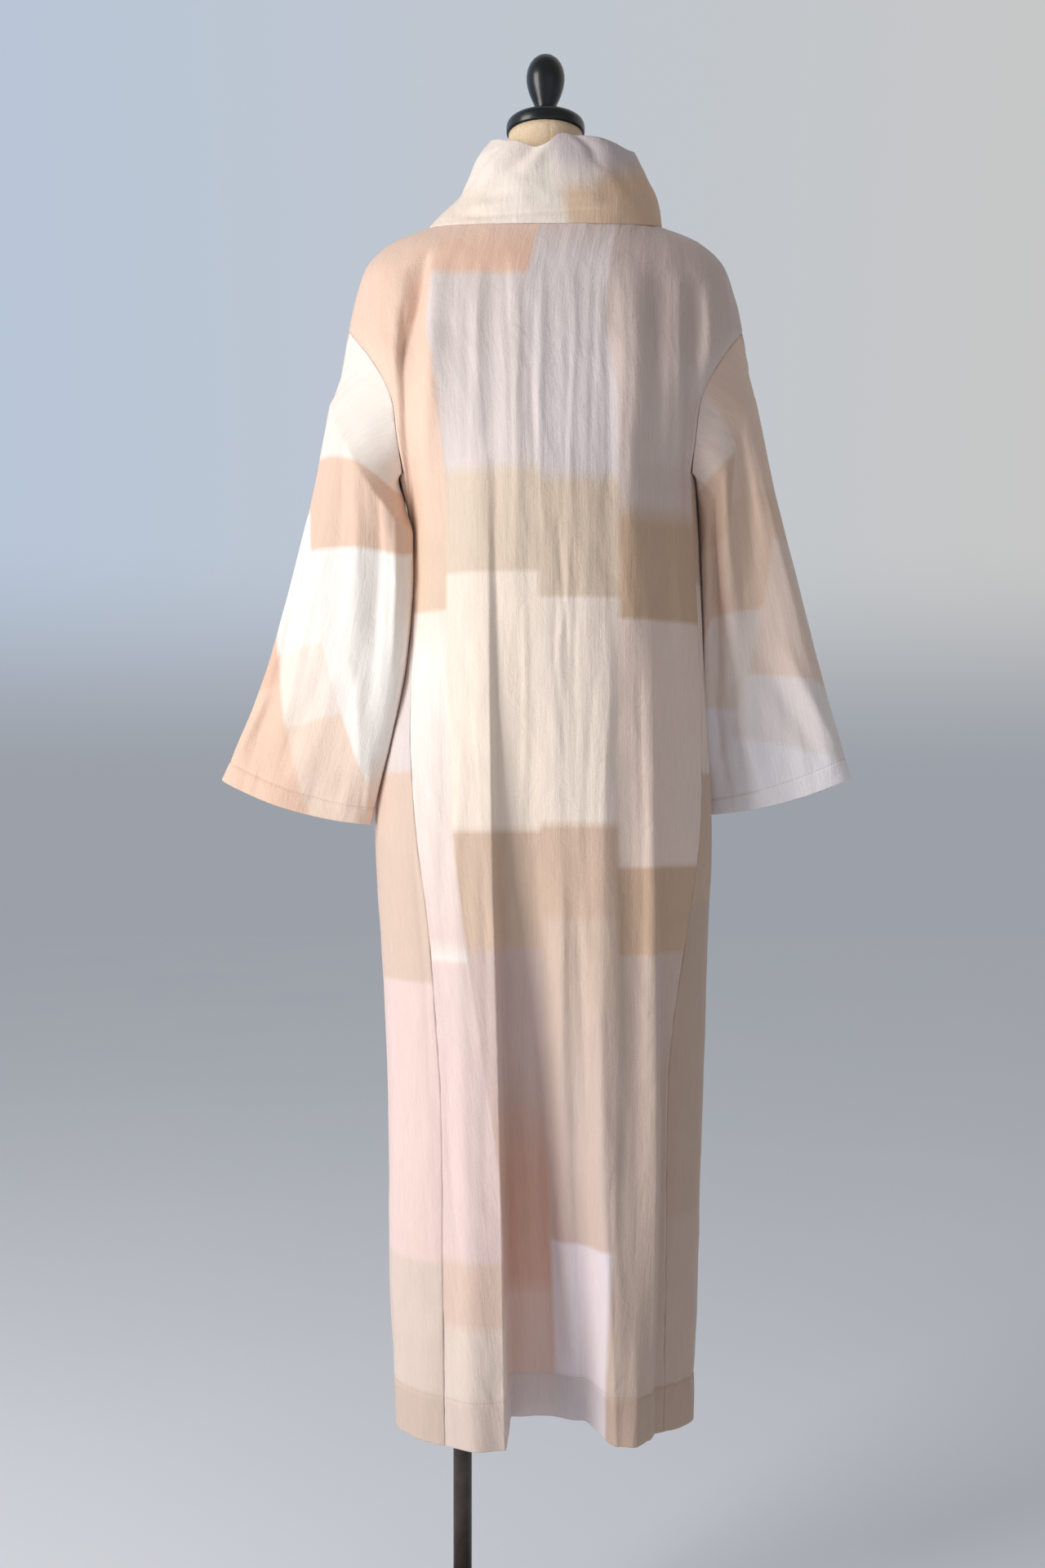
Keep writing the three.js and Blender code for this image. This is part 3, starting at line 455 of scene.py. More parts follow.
def printed_cotton(name, strips, turn=0.0, reach=1.36):
    """Plain-woven cotton lawn, threads 0.3 mm apart, printed in large pastel blocks: strips go from
    left to right, each with its left edge, that edge's softness and its blocks from the hem up, a
    block being its lower edge, colour and softness."""
    # matt, slightly silky: a soft sheen at grazing light; the weave is drawn 1.5 mm coarse, as finer
    # would not show, with faint slubs along the warp
    cotton, shader = finish_of(name, {"Roughness": 0.66, "Sheen Weight": 0.22, "Sheen Roughness": 0.35,
                                      "Specular IOR Level": 0.35, "IOR": 1.47})
    cut = node(cotton, "UVMap", uv_map="cut").outputs[0]
    laid = node(cotton, "Mapping", {"Vector": cut, "Rotation": (0, 0, math.radians(turn))}).outputs[0]
    place = node(cotton, "SeparateXYZ", {0: laid}).outputs
    height = node(cotton, "Math", {0: place[1], 1: 1 / reach}, operation="MULTIPLY").outputs[0]
    colour = None
    for left, soft, blocks in strips:
        ramp = node(cotton, "ValToRGB", {0: height})
        stops = ramp.color_ramp.elements
        shades = [(0.0, blocks[0][1])]
        for (low, shade, blur), (_, before, _) in zip(blocks[1:], blocks):
            shades += [((low - blur) / 1000 / reach, before), ((low + blur) / 1000 / reach, shade)]
        stops[0].position, stops[0].color = shades[0][0], paint(shades[0][1])
        stops.remove(stops[1])
        for position, shade in shades[1:]:
            stops.new(min(1, max(0, position))).color = paint(shade)
        if colour is None:
            colour = ramp.outputs[0]
        else:
            reached = node(cotton, "MapRange", {0: place[0], 1: (left - soft) / 1000,
                                                2: (left + soft) / 1000}).outputs[0]
            colour = mixed(cotton, reached, colour, ramp.outputs[0])
    slub = noise(cotton, cut, (420, 26, 1), detail=3.0, Roughness=0.6)
    cloudy = noise(cotton, cut, scale=9.0)
    dim, dim_more = [node(cotton, "MapRange", {0: grey, 1: 0.3, 2: 0.7, 3: low, 4: high}).outputs[0]
                     for grey, low, high in ((slub, 0.955, 1.02), (cloudy, 0.975, 1.015))]
    level = node(cotton, "Math", {0: dim, 1: dim_more}, operation="MULTIPLY").outputs[0]
    shown = node(cotton, "Mix", {0: 1.0, 6: colour, 7: level}, data_type="RGBA", blend_type="MULTIPLY")
    cotton.node_tree.links.new(shown.outputs[2], shader.inputs["Base Color"])
    warp, weft = [noise(cotton, cut, stretch, detail=1.0) for stretch in ((900, 200, 1), (200, 900, 1))]
    weave = node(cotton, "Math", {0: warp, 1: weft}, operation="ADD").outputs[0]
    # faint pressed streaks 6 mm apart down the cloth, and soft crumples 30 mm across
    streak = noise(cotton, cut, (150, 13, 1), detail=3.0)
    crumple = noise(cotton, cut, (34, 20, 1), detail=5.0, Roughness=0.55, Distortion=0.6)
    raised = None
    for relief, strength, distance in ((weave, 0.5, 0.0004), (slub, 0.5, 0.0006), (streak, 0.3, 0.0018),
                                       (crumple, 0.35, 0.0042)):
        raised = bump(cotton, relief, strength, distance, raised)
    cotton.node_tree.links.new(raised, shader.inputs["Normal"])
    return cotton


def seam_roll(u, reach=0.8, depth=0.16):
    """How far cloth dips to the seams at both sides of a panel, and how far off the nearest one is."""
    left, right = u - u[:, :1], u[:, -1:] - u
    return depth * (np.exp(-(left / reach) ** 2) + np.exp(-(right / reach) ** 2)), np.minimum(left, right)


def stitches(name, line, facing, long=2.6, gap=0.8, radius=0.32):
    """Sewn thread: short rounded stitches lying along a line of points, each a small closed body."""
    step = np.linalg.norm(np.diff(line, axis=0), axis=-1)
    run = np.concatenate([[0], np.cumsum(step)])
    spots = np.arange(long, run[-1] - long, long + gap)
    points, faces = [], []
    for s in spots:
        ends = [np.array([np.interp(s + d, run, line[:, k]) for k in range(3)])
                for d in (-long / 2, long / 2)]
        up = np.array([np.interp(s, run, facing[:, k]) for k in range(3)])
        ahead = ends[1] - ends[0]
        ahead /= np.linalg.norm(ahead)
        side = np.cross(ahead, up)
        first = len(points)
        points.append(ends[0] - up * radius * 0.4)
        for place in (0.25, 0.75):
            spot = ends[0] * (1 - place) + ends[1] * place
            points += [spot + side * radius * a + up * radius * (b + 0.3)
                       for a, b in ((1, 0), (0, 1), (-1, 0), (0, -1))]
        points.append(ends[1] - up * radius * 0.4)
        for j in range(4):
            a, b = first + 1 + j, first + 1 + (j + 1) % 4
            faces += [[first, b, a], [a, b, b + 4, a + 4], [a + 4, b + 4, first + 9]]
    piece = piece_of(name, np.array(points), faces)
    piece.data.materials.append(thread)
    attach(piece, "root")
    return piece


# spun cotton thread, beige: matt, with the twist of its two plies
thread, thread_shader = finish_of("cotton_thread", {"Base Color": paint("#D8C8B8"), "Roughness": 0.8})
ply = node(thread, "TexWave", {"Vector": node(thread, "TexCoord").outputs["Object"], "Scale": 900.0},
           bands_direction="DIAGONAL").outputs["Fac"]
thread.node_tree.links.new(bump(thread, ply, 0.3, 0.0002), thread_shader.inputs["Normal"])


def hem_shape(u, v, hem=HEM_DEEP):
    """The turned hem: a pressed edge, a dipped stitch line and small puckers along it."""
    near = np.exp(-((v - hem) / 14) ** 2)
    return (-0.55 * np.exp(-((v - hem) / 1.6) ** 2) + 0.35 * smooth((hem - v) / 3)
            + near * 0.5 * rumple(u, v, 9, 30, 5) + 0.5 * near * rumple(u, v, 21, 60, 6))


def inset_line(points, u, rows_of, side, inset=5.0):
    """The line that runs a little inside one side edge of a panel, over some of its rows."""
    line = []
    for row in rows_of:
        away, spots = u[row] - u[row, 0], points[row]
        if side > 0:
            away, spots = (u[row, -1] - u[row])[::-1], spots[::-1]
        line.append([np.interp(inset, away, spots[:, k]) for k in range(3)])
    return np.array(line)


def hem_stitches(name, outer, normal, v):
    """Stitching along the row of a panel at the top of its turned hem."""
    row = int(np.argmin(abs(v[:, 0] - HEM_DEEP)))
    return stitches(name, outer[row, 1:-1], normal[row, 1:-1])


def armhole_stitches(face, outer, normal, u, skirt_rows, beside, sides):
    """Stitching round both armholes of a panel, over the rows beside them. sides pairs each name
    with the panel's edge, -1 for the one where its columns start."""
    rows_of = np.arange(skirt_rows, skirt_rows + int((beside <= ARMHOLE_ROWS).sum()))
    return [stitches(f"armhole_stitching_{face}_{name}", inset_line(outer, u, rows_of, side),
                     inset_line(normal, u, rows_of, side)) for name, side in sides]


def column_places(count, last):
    """Places of columns: even, with a few more close to both edges."""
    close = np.array([0.12, 0.26, 0.45])
    return np.unique(spaced(0, last, count, *close, *(last - close)).round(5))


hem_rows = HEM_Z + np.array([1.2, 2.6, 46, 48, 49.2, 50, 50.8, 52, 54])
heights = spaced(HEM_Z, UNDERARM, 160, *hem_rows)
rows = spaced(0, UPPER_ROWS, 64, *(UPPER_ROWS - np.array([0.03, 0.07, 0.12])))[1:]
places = column_places(192, 39.0)
base = panel_surface("back", BACK_FOLDS, BACK_TROUGHS, places, heights, rows)
u, v = cut_of(base, centre=int(np.argmin(abs(base[0, :, 0]))))
x, z = base[..., 0], base[..., 2]
roll, from_seam = seam_roll(u)
lift = -0.62 * trough_depth(BACK_CREASES, x, z, wander=2.5) * smooth(from_seam / 8)
lift += smooth(from_seam / 10) * (
    0.4 * rumple(u, v, 13, 260, 1) + 0.22 * crisp(u, v, 17, 150, 2)
    + 0.3 * crisp(u + 0.25 * v, v, 22, 70, 7) + 0.4 * rumple(u, v, 26, 34, 3))
# a crinkled stretch down the ridge to the right of the valley, and puckers along the seams
ridge = np.exp(-((x - 104) / 9) ** 2) * smooth((895 - z) / 60) * smooth((z - 600) / 60)
lift += 0.7 * rumple(u, v, 14, 11, 4) * ridge
lift += 0.45 * rumple(u * 0, v, 9, 14, 8) * np.exp(-(from_seam / 14) ** 2)
lift += hem_shape(u, v)
neck = v.max() - v
roll = roll + 0.3 * np.exp(-(neck / 1.0) ** 2)
lift += 0.4 * rumple(u, neck, 11, 40, 9) * np.exp(-(neck / 16) ** 2)
back_outer = base + normals_of(base) * (lift - roll)[..., None]
back, back_normal = shell("back_cloth", back_outer, u, v)
back.data.materials.append(printed_cotton("printed_cotton_back_with_painted_shade", [
    (-400, 1, [(0, "#E3D0C6", 0), (52, "#EAD8CD", 2), (128, "#E8CDBE", 3), (196, "#EFD6D2", 3),
               (470, "#F0D9D3", 60), (506, "#FBF3EB", 2), (842, "#F7E8DB", 25), (868, "#E6CBB6", 2),
               (985, "#F0D2BF", 50), (1120, "#EFCFBC", 60)]),
    (-88, 2, [(0, "#DCCDCB", 0), (52, "#E3C8BC", 2), (150, "#DFB7A6", 12), (330, "#DDC6BF", 60),
              (520, "#DEC3AF", 2), (642, "#FBEBDD", 2), (905, "#E5D2BF", 2), (1012, "#E6DAD7", 8),
              (1238, "#EFC9B4", 2), (1300, "#EBD0C0", 30)]),
    (14, 3, [(0, "#D9CFD3", 0), (52, "#EEE3E9", 2), (205, "#DCC6BC", 2), (452, "#E2CAB8", 90),
             (552, "#DEC2AE", 2), (648, "#F9E9DD", 2), (880, "#E2CEBA", 2), (1002, "#E5DADB", 10),
             (1290, "#DFCFC9", 30)]),
    # the strip right of 96 mm keeps its print but is painted about 8 % darker: painted shade for the side of
    # the back turned away from the window light
    (96, 4, [(0, "#C2AA9C", 0), (52, "#CDB8AC", 2), (170, "#D3BEB2", 30), (512, "#CFB199", 2),
             (604, "#EAD5CA", 2), (858, "#CFB198", 2), (968, "#DAC8C1", 12), (1190, "#D2C0BB", 60)]),
]))
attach(back, "root")
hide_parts("back_panel")
back_hem = hem_stitches("hem_stitching_back", back_outer, back_normal, v)
back_armholes = armhole_stitches("back", back_outer, back_normal, u, len(heights), rows,
                                 (("left", -1), ("right", 1)))

# ---- Front panel --------------------------------------------------------------------------------
# The same cotton, cut as the back but lower at the neck. It hangs in three shallow folds over the
# front, sewn to the side panels, sleeves and collar.

FRONT_FOLDS = table(
    "columns hem_x knee_x hip_x blade_x hem_out knee_out hip_out blade_out",
    (5, 0, 0, 0, 0, 4, 0, 0, 0), (5, -78, -84, -92, -96, 20, 12, 5, 0),
    (5, -44, -50, -56, -58, -20, -12, -4, 0), (5, -4, -8, -10, -10, 16, 11, 4, 0),
    (5, 40, 40, 42, 42, -22, -13, -4, 0), (5, 80, 86, 90, 92, 18, 10, 4, 0),
    (0, 0, 0, 0, 0, 4, 0, 0, 0))
FRONT_TROUGHS = troughs(
    (-112, 1500, -104, 1150, 14, 6), (-46, 1440, -50, 1100, 14, 4), (4, 1430, 2, 1120, 14, 4),
    (52, 1440, 56, 1100, 14, 4), (118, 1500, 110, 1150, 14, 6))
FRONT_CREASES = troughs(
    (-90, 1480, -84, 1150, 5, 1.8), (-70, 1470, -68, 1200, 4, -1.4), (-26, 1460, -24, 1160, 5, 1.6),
    (22, 1455, 24, 1120, 5, 1.7), (36, 1440, 36, 1210, 4, -1.3), (84, 1480, 80, 1160, 5, 1.8),
    (102, 1490, 100, 1200, 4, -1.5), (-30, 1080, -24, 600, 6, 2.0), (20, 1040, 16, 520, 6, 1.8),
    (64, 1000, 60, 430, 6, -2.0), (-66, 980, -60, 420, 6, -2.2), (100, 960, 96, 480, 6, 1.8),
    (-104, 900, -96, 380, 6, 1.8), (0, 760, 0, 330, 6, -2.0), (44, 640, 42, 310, 6, 1.8))

front_places = column_places(100, 30.0)
front_heights = heights[::2] if len(heights) % 2 else np.append(heights[::2], UNDERARM)
front_rows = rows[::2] if len(rows) % 2 else np.append(rows[::2], UPPER_ROWS)
front_base = panel_surface("front", FRONT_FOLDS, FRONT_TROUGHS, front_places, front_heights,
                           front_rows)[:, ::-1]
front_u, front_v = cut_of(front_base)
x, z = front_base[..., 0], front_base[..., 2]
roll, from_seam = seam_roll(front_u)
lift = -trough_depth(FRONT_CREASES, x, z, wander=2.5) * smooth(from_seam / 12)
lift += smooth(from_seam / 10) * (0.8 * rumple(front_u, front_v, 15, 240, 21)
                                  + 0.5 * rumple(front_u, front_v, 26, 34, 23))
lift += 0.45 * rumple(front_u * 0, front_v, 9, 14, 28) * np.exp(-(from_seam / 14) ** 2)
lift += hem_shape(front_u, front_v)
neck = front_v.max() - front_v
roll = roll + 0.3 * np.exp(-(neck / 1.0) ** 2)
front_outer = front_base + normals_of(front_base) * (lift - roll)[..., None]
front, front_normal = shell("front_cloth", front_outer, front_u, front_v)
front.data.materials.append(printed_cotton("printed_cotton_front", [
    (-400, 1, [(0, "#DFCEC3", 0), (52, "#E8D5CA", 2), (170, "#EACBBC", 3), (300, "#F0D9D4", 3),
               (560, "#E6CFBC", 30), (700, "#FAF0E7", 2), (980, "#E7D0BC", 3), (1150, "#E3D6D5", 20)]),
    (-58, 2, [(0, "#D9CCCD", 0), (52, "#EBE0E5", 2), (240, "#E5C4B2", 4), (500, "#EFDAD3", 40),
              (640, "#DFC8B2", 2), (846, "#F7EADD", 2), (1120, "#EFCDBA", 3)]),
    (66, 3, [(0, "#DFCEC3", 0), (52, "#EED6D1", 2), (330, "#E0CBBC", 3), (470, "#F6EAE0", 2),
             (760, "#E2CBB4", 2), (930, "#E2D9DD", 12)]),
]))
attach(front, "root")
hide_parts("front_panel")
front_hem = hem_stitches("hem_stitching_front", front_outer, front_normal, front_v)
front_armholes = armhole_stitches("front", front_outer, front_normal, front_u, len(front_heights),
                                  front_rows, (("right", -1), ("left", 1)))

# ---- Side panels --------------------------------------------------------------------------------
# Two long gussets of the same cotton, narrow at the underarm and wide at the hem, that give the
# skirt its width. Each is sewn to the back and the front along its whole length.


def side_surface(side, shares, heights):
    """Outer points of a side panel, columns running right as seen from outside."""
    ends = []
    for face, folds in (("back", BACK_FOLDS), ("front", FRONT_FOLDS)):
        turn, out = fold_line(face, folds, 0 if side < 0 else len(folds["columns"]) - 1, heights)
        ends.append((abs(turn) if face == "back" else np.pi - abs(turn), out * OUTWARD[face]))
    (turn_a, out_a), (turn_b, out_b) = [[part[:, None] for part in end] for end in ends[::side]]
    turn = turn_a + (turn_b - turn_a) * shares
    half = half_width(side, heights)[:, None]
    depth = np.where(turn <= np.pi / 2, read(BODY, "z", "back", heights)[:, None],
                     read(BODY, "z", "front", heights)[:, None])
    return np.stack([side * across(turn) * half, -along(turn) * depth + out_a + (out_b - out_a) * shares,
                     heights[:, None] + 0 * turn], -1)


SIDE_STRIPS = {
    "left": [(-400, 1, [(0, "#DCC8BB", 0), (52, "#E6D3C8", 2), (120, "#DDC4B4", 2), (300, "#F1D9D5", 2),
                        (520, "#DDC5B6", 2), (640, "#DDD0CC", 3), (810, "#E9CDBC", 3), (905, "#EFE2E5", 3)]),
             (-16, 5, [(0, "#D6C0B2", 0), (52, "#E2CEC3", 2), (190, "#EFD5CF", 3), (480, "#E0C7B7", 2),
                       (700, "#E1D5D2", 3), (860, "#EDD5C7", 3)])],
    # the right panel's colours are its print painted darker than the left's: painted shade, as this side
    # lies away from the window light
    "right": [(-400, 1, [(0, "#C0A899", 0), (52, "#CAB3A7", 2), (230, "#C6AE9F", 4), (560, "#CDB29D", 2),
                         (700, "#E6D3C8", 2), (900, "#D0B6A1", 3)]),
              (10, 5, [(0, "#D2BEB3", 0), (52, "#DACAC4", 2), (330, "#D4BAA7", 4), (620, "#E3D1C9", 2)])]}

side_heights = spaced(HEM_Z, UNDERARM, 190, *hem_rows)
shares = spaced(0, 1, 34, 0.012, 0.03, 0.05, 0.95, 0.97, 0.988)
for name, side, seed, wide, area in (("left", -1, 40, 0.20, 0.168), ("right", 1, 50, 0.17, 0.139)):
    side_base = side_surface(side, shares, side_heights)
    side_u, side_v = cut_of(side_base)
    roll, from_seam = seam_roll(side_u)
    lift = smooth(from_seam / 9) * (1.0 * rumple(side_u, side_v, 14, 230, seed)
                                    + 0.6 * rumple(side_u, side_v, 8, 90, seed + 1)
                                    + 0.5 * rumple(side_u, side_v, 24, 30, seed + 2))
    lift += 0.45 * rumple(side_u * 0, side_v, 9, 14, seed + 3) * np.exp(-(from_seam / 12) ** 2)
    lift += hem_shape(side_u, side_v)
    side_outer = side_base + normals_of(side_base) * (lift - roll)[..., None]
    gusset, gusset_normal = shell(f"side_cloth_{name}", side_outer, side_u, side_v)
    # on the right panel these colours carry painted shade as well as the print
    gusset.data.materials.append(printed_cotton(f"printed_cotton_side_{name}", SIDE_STRIPS[name]))
    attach(gusset, "root")
    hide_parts(f"side_panel_{name}")
    gusset_hem = hem_stitches(f"hem_stitching_side_{name}", side_outer, gusset_normal, side_v)

# ---- Sleeves ------------------------------------------------------------------------------------
# Straight wide sleeves of the same cotton, each sewn into a tube along its inner edge, set into the
# dropped armhole, with a narrow turned cuff. They hang empty, nearly flat, with long soft folds.

SLEEVES = {
    -1: table("step out_x out_z out_y in_x in_z in_y depth droop",
              (0.17, 228, 1384, 2, 141, 1236, -42, 41, 0), (0.38, 252, 1275, 4, 143, 1160, -48, 35, 0),
              (0.58, 280, 1170, 5, 150, 1085, -52, 33, 2), (0.80, 312, 1068, 3, 167, 1005, -42, 32, 5),
              (1.00, 350, 975, 0, 187, 927, -26, 31, 8)),
    1: table("step out_x out_z out_y in_x in_z in_y depth droop",
             (0.17, 227, 1386, -2, 165, 1236, 2, 46, 0), (0.38, 250, 1278, -4, 169.5, 1160, 12, 41, 0),
             (0.58, 276, 1174, -5, 173.5, 1085, 26, 37, 2), (0.80, 304, 1068, -3, 179, 1005, 38, 34, 5),
             (1.00, 332, 976, 0, 182, 936, 40, 31, 8))}
# folds: place round the tube (0 outer edge, 0.5 inner edge by way of the back), half-width, depth
# (below 0 a ridge), and the stretch of sleeve they run over
SLEEVE_FOLDS = {
    -1: table("around width depth start end",
              (0.14, 0.07, 7, 0.15, 1.0), (0.31, 0.08, 9, 0.10, 0.85), (0.66, 0.08, 6, 0.15, 0.95),
              (0.84, 0.08, 6, 0.25, 1.0)),
    1: table("around width depth start end",
             (0.20, 0.08, 8, 0.05, 0.8), (0.36, 0.07, 6, 0.35, 1.0), (0.70, 0.08, 6, 0.15, 0.95),
             (0.86, 0.07, 5, 0.25, 1.0))}
# creases: place round the tube and step along it at both ends, width (mm) and depth
SLEEVE_CREASES = {
    -1: troughs(
        (0.255, 0.12, 0.315, 0.76, 10, -5.0), (0.305, 0.60, 0.455, 0.99, 8, -5.5),
        (0.335, 0.14, 0.37, 0.72, 8, 4.5), (0.41, 0.12, 0.42, 0.60, 6, -4.0),
        (0.35, 0.66, 0.43, 0.99, 6, 4.0), (0.20, 0.10, 0.22, 0.55, 9, 3.5),
        (0.10, 0.50, 0.13, 0.86, 8, 3.5), (0.13, 0.70, 0.07, 0.99, 7, -3.5),
        (0.25, 0.62, 0.20, 0.98, 9, 3.5), (0.17, 0.30, 0.18, 0.80, 6, -2.0),
        (0.60, 0.20, 0.62, 0.80, 7, 4.0), (0.68, 0.14, 0.70, 0.70, 9, -4.5),
        (0.76, 0.20, 0.78, 0.90, 8, 3.5), (0.90, 0.40, 0.93, 0.95, 7, -2.5)),
    1: troughs(
        (0.27, 0.02, 0.295, 0.66, 10, -7.5), (0.345, 0.04, 0.37, 0.70, 9, 9.0),
        (0.17, 0.08, 0.21, 0.62, 10, 4.5), (0.25, 0.58, 0.11, 0.97, 9, 5.0),
        (0.17, 0.62, 0.06, 0.92, 8, -4.0), (0.39, 0.58, 0.37, 0.99, 8, 5.0),
        (0.43, 0.20, 0.44, 0.96, 7, -4.5), (0.31, 0.66, 0.27, 0.99, 8, -4.0),
        (0.10, 0.30, 0.08, 0.66, 8, -2.5), (0.62, 0.20, 0.60, 0.80, 7, 4.0),
        (0.70, 0.10, 0.69, 0.75, 9, -4.5), (0.78, 0.20, 0.76, 0.90, 8, 3.5),
        (0.92, 0.40, 0.90, 0.95, 7, -2.5))}
SLEEVE_STRIPS = {
    "left": [(-700, 1, [(0, "#F3DACB", 0), (70, "#FBF1E8", 2), (190, "#EACBB8", 3)]),
             (-260, 2, [(0, "#F8E3D5", 0), (14, "#F8F0E8", 10), (40, "#F9F3EE", 2), (252, "#E8C9B6", 2),
                        (330, "#F4EBE3", 2)]),
             (-66, 2, [(0, "#F5DCCB", 0), (96, "#F8E8DD", 2), (168, "#F8F2EC", 2), (286, "#E8C9B6", 2)]),
             (4, 3, [(0, "#F0CCB7", 0), (140, "#E9C2AC", 3), (222, "#F3DACB", 2)])],
    "right": [(-700, 1, [(0, "#E4C9B6", 0), (150, "#EFE3DE", 3), (270, "#E2C8B6", 3), (400, "#E9D8CF", 3)]),
              (-190, 2, [(0, "#F3F0F5", 0), (70, "#EEE6E5", 3), (132, "#EBD6CA", 2), (250, "#E6CBB9", 3),
                         (330, "#E0C2AC", 3)]),
              (60, 3, [(0, "#F1ECF0", 0), (96, "#ECDED6", 3), (190, "#E6CAB7", 2), (290, "#EBD0BF", 3)]),
              (150, 3, [(0, "#F4F1F4", 0), (60, "#EBDDD7", 3), (150, "#E3C8B8", 2), (262, "#DDC0AB", 3),
                        (330, "#EAD7CD", 3)])]}
CUFF_DEEP = 20            # cuff edge to the stitching of its turning



def sleeve_surface(side, arounds, steps):
    """Outer points of a sleeve from the armhole to the cuff, before its fine creases."""
    count = 3 * ARMHOLE_ROWS + 1
    spot = arounds * count
    evenly = np.linspace(0, 1, 200)
    under = side_surface(side, evenly, UNDERARM[None])[0][::side]
    share = np.clip((spot - ARMHOLE_ROWS) / 8, 0, 1)
    loop = np.stack([np.interp(share, evenly, under[:, k]) for k in range(3)], -1)
    for face, beyond in (("back", ARMHOLE_ROWS - spot), ("front", spot - ARMHOLE_ROWS - 8)):
        loop = np.where((beyond > 0)[:, None], armhole_edge(face, side, np.clip(beyond, 0, 7)), loop)
    height = (loop[:, 2] - loop[:, 2].min()) / np.ptp(loop[:, 2])
    start_ring = loop + np.stack([side * 0.35 + 0 * height, 0 * height, -0.3 * height], -1)
    rows_of, folds = SLEEVES[side], SLEEVE_FOLDS[side]
    first = rows_of["step"][0]
    get = lambda key: read(rows_of, "step", key, np.maximum(steps, first))
    outer = np.stack([side * get("out_x"), get("out_y"), get("out_z")], -1)
    inner = np.stack([side * get("in_x"), get("in_y"), get("in_z")], -1)
    centre, half = (outer + inner) / 2, (outer - inner) / 2
    flat = np.stack([half[:, 1] * side, -abs(half[:, 0]), 0 * half[:, 0]], -1)
    flat /= np.linalg.norm(flat, axis=-1, keepdims=True)
    press = np.zeros((len(steps), len(arounds)))
    for place, width, deep, start, end in zip(*folds.values()):
        run = (steps - start) / (end - start)
        press += deep * np.exp(-((arounds - place) / width) ** 2)[None] * smooth(3 * run)[:, None]
    angle = arounds * 2 * np.pi
    points = (centre[:, None] + half[:, None] * np.cos(angle)[None, :, None]
              + flat[:, None] * ((get("depth")[:, None] - press) * np.sin(angle))[..., None])
    points[..., 2] -= get("droop")[:, None] * np.sin(angle) ** 2
    blend = np.clip(steps / first, 0, 1)[:, None, None]
    return start_ring[None] * (1 - blend) + points * blend


def clear_of_body(points, side, gap):
    """A sleeve's points, moved out along X to lie at least a gap outside the dress's side."""
    x, y, z = np.moveaxis(points, -1, 0)
    depth = np.where(y < 0, read(BODY, "z", "back", z), read(BODY, "z", "front", z))
    turn = np.arccos(np.minimum(1, abs(y) / depth) ** (1 / CORNER))
    push = half_width(side, z) * across(turn) + gap - abs(x)
    return np.stack([x + side * (push + np.sqrt(push ** 2 + 1)) / 2, y, z], -1)


def round_cut(points, middle=120):
    """How far round a tube each point lies from a middle column, and each ring's girth."""
    run = np.linalg.norm(np.roll(points, -1, 1) - points, axis=-1)
    u = np.concatenate([np.zeros((len(run), 1)), np.cumsum(run, 1)[:, :-1]], 1)
    return u - u[:, middle:middle + 1], run.sum(1, keepdims=True)


arounds = (np.arange(150) / 150 + 0.5) % 1          # from the seam at the inner edge
steps = spaced(0, 1, 128, 0.002, 0.005, 0.01, 0.953, 0.957, 0.96, 0.963, 0.994, 0.997)
around_grid, step_grid = np.meshgrid(arounds, steps)
for name, side, seed, wide, long, area, tilt in (("left", -1, 60, 0.42, 0.43, 0.155, 33),
                                                 ("right", 1, 70, 0.44, 0.42, 0.14, -31)):
    sleeve_base = sleeve_surface(side, arounds, steps)
    sleeve_u, girth = round_cut(sleeve_base)
    drop = np.linalg.norm(np.diff(sleeve_base, axis=0), axis=-1).mean(1)
    sleeve_v = np.tile((drop.sum() - np.concatenate([[0], np.cumsum(drop)]))[:, None], (1, len(arounds)))
    lift = np.zeros_like(sleeve_u)
    for i, (ta, ts, la, ls, width, deep) in enumerate(zip(*SLEEVE_CREASES[side].values())):
        t = (step_grid - ts) / (ls - ts)
        off = around_grid - (ta + (la - ta) * t + 0.004 * np.sin(5 * t + i))
        lift -= ((t > 0) * (t < 1) * deep * np.exp(-(off * girth / width) ** 2)
                 * np.sin(np.pi * np.clip(t, 0, 1)))
    seam_gap = sleeve_v.max() - sleeve_v
    for i, (amount, wave_u, wave_v) in enumerate(((0.9, 17, 150), (0.5, 9, 60), (0.5, 26, 26))):
        lift += amount * rumple(sleeve_u, sleeve_v, wave_u, wave_v, seed + i) * smooth(seam_gap / 20)
    lift += 0.7 * rumple(sleeve_u, seam_gap, 13, 40, seed + 3) * np.exp(-(seam_gap / 22) ** 2)
    lift -= 0.3 * np.exp(-(seam_gap / 1.0) ** 2)
    lift += hem_shape(sleeve_u, sleeve_v, hem=CUFF_DEEP)
    grid, u_grid, v_grid = [g[:, ::side] for g in (sleeve_base, sleeve_u * side, sleeve_v)]
    sleeve_outer = grid + normals_of(grid, True) * lift[:, ::side][..., None]
    sleeve_outer = clear_of_body(sleeve_outer, side, 1.6 * smooth(seam_gap[:, ::side] / 6) - 0.2)
    sleeve, sleeve_normal = shell(f"sleeve_cloth_{name}", sleeve_outer, u_grid, v_grid, closed=True)
    sleeve.data.materials.append(printed_cotton(f"printed_cotton_sleeve_{name}", SLEEVE_STRIPS[name],
                                                turn=tilt, reach=0.7))
    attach(sleeve, "root")
    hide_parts(f"sleeve_{name}")
    cuff_row = int(np.argmin(abs(sleeve_v[:, 0] - CUFF_DEEP)))
    ring, ring_normal = [np.concatenate([grid[cuff_row], grid[cuff_row, :1]])
                         for grid in (sleeve_outer, sleeve_normal)]
    cuff = stitches(f"cuff_stitching_{name}", ring, ring_normal)

# ---- Collar -------------------------------------------------------------------------------------
# A high funnel collar, one bias-cut piece of the same cotton, doubled over at its soft upper edge
# and sewn to the neck. It stands away from the form's neck and slumps in slanting folds.

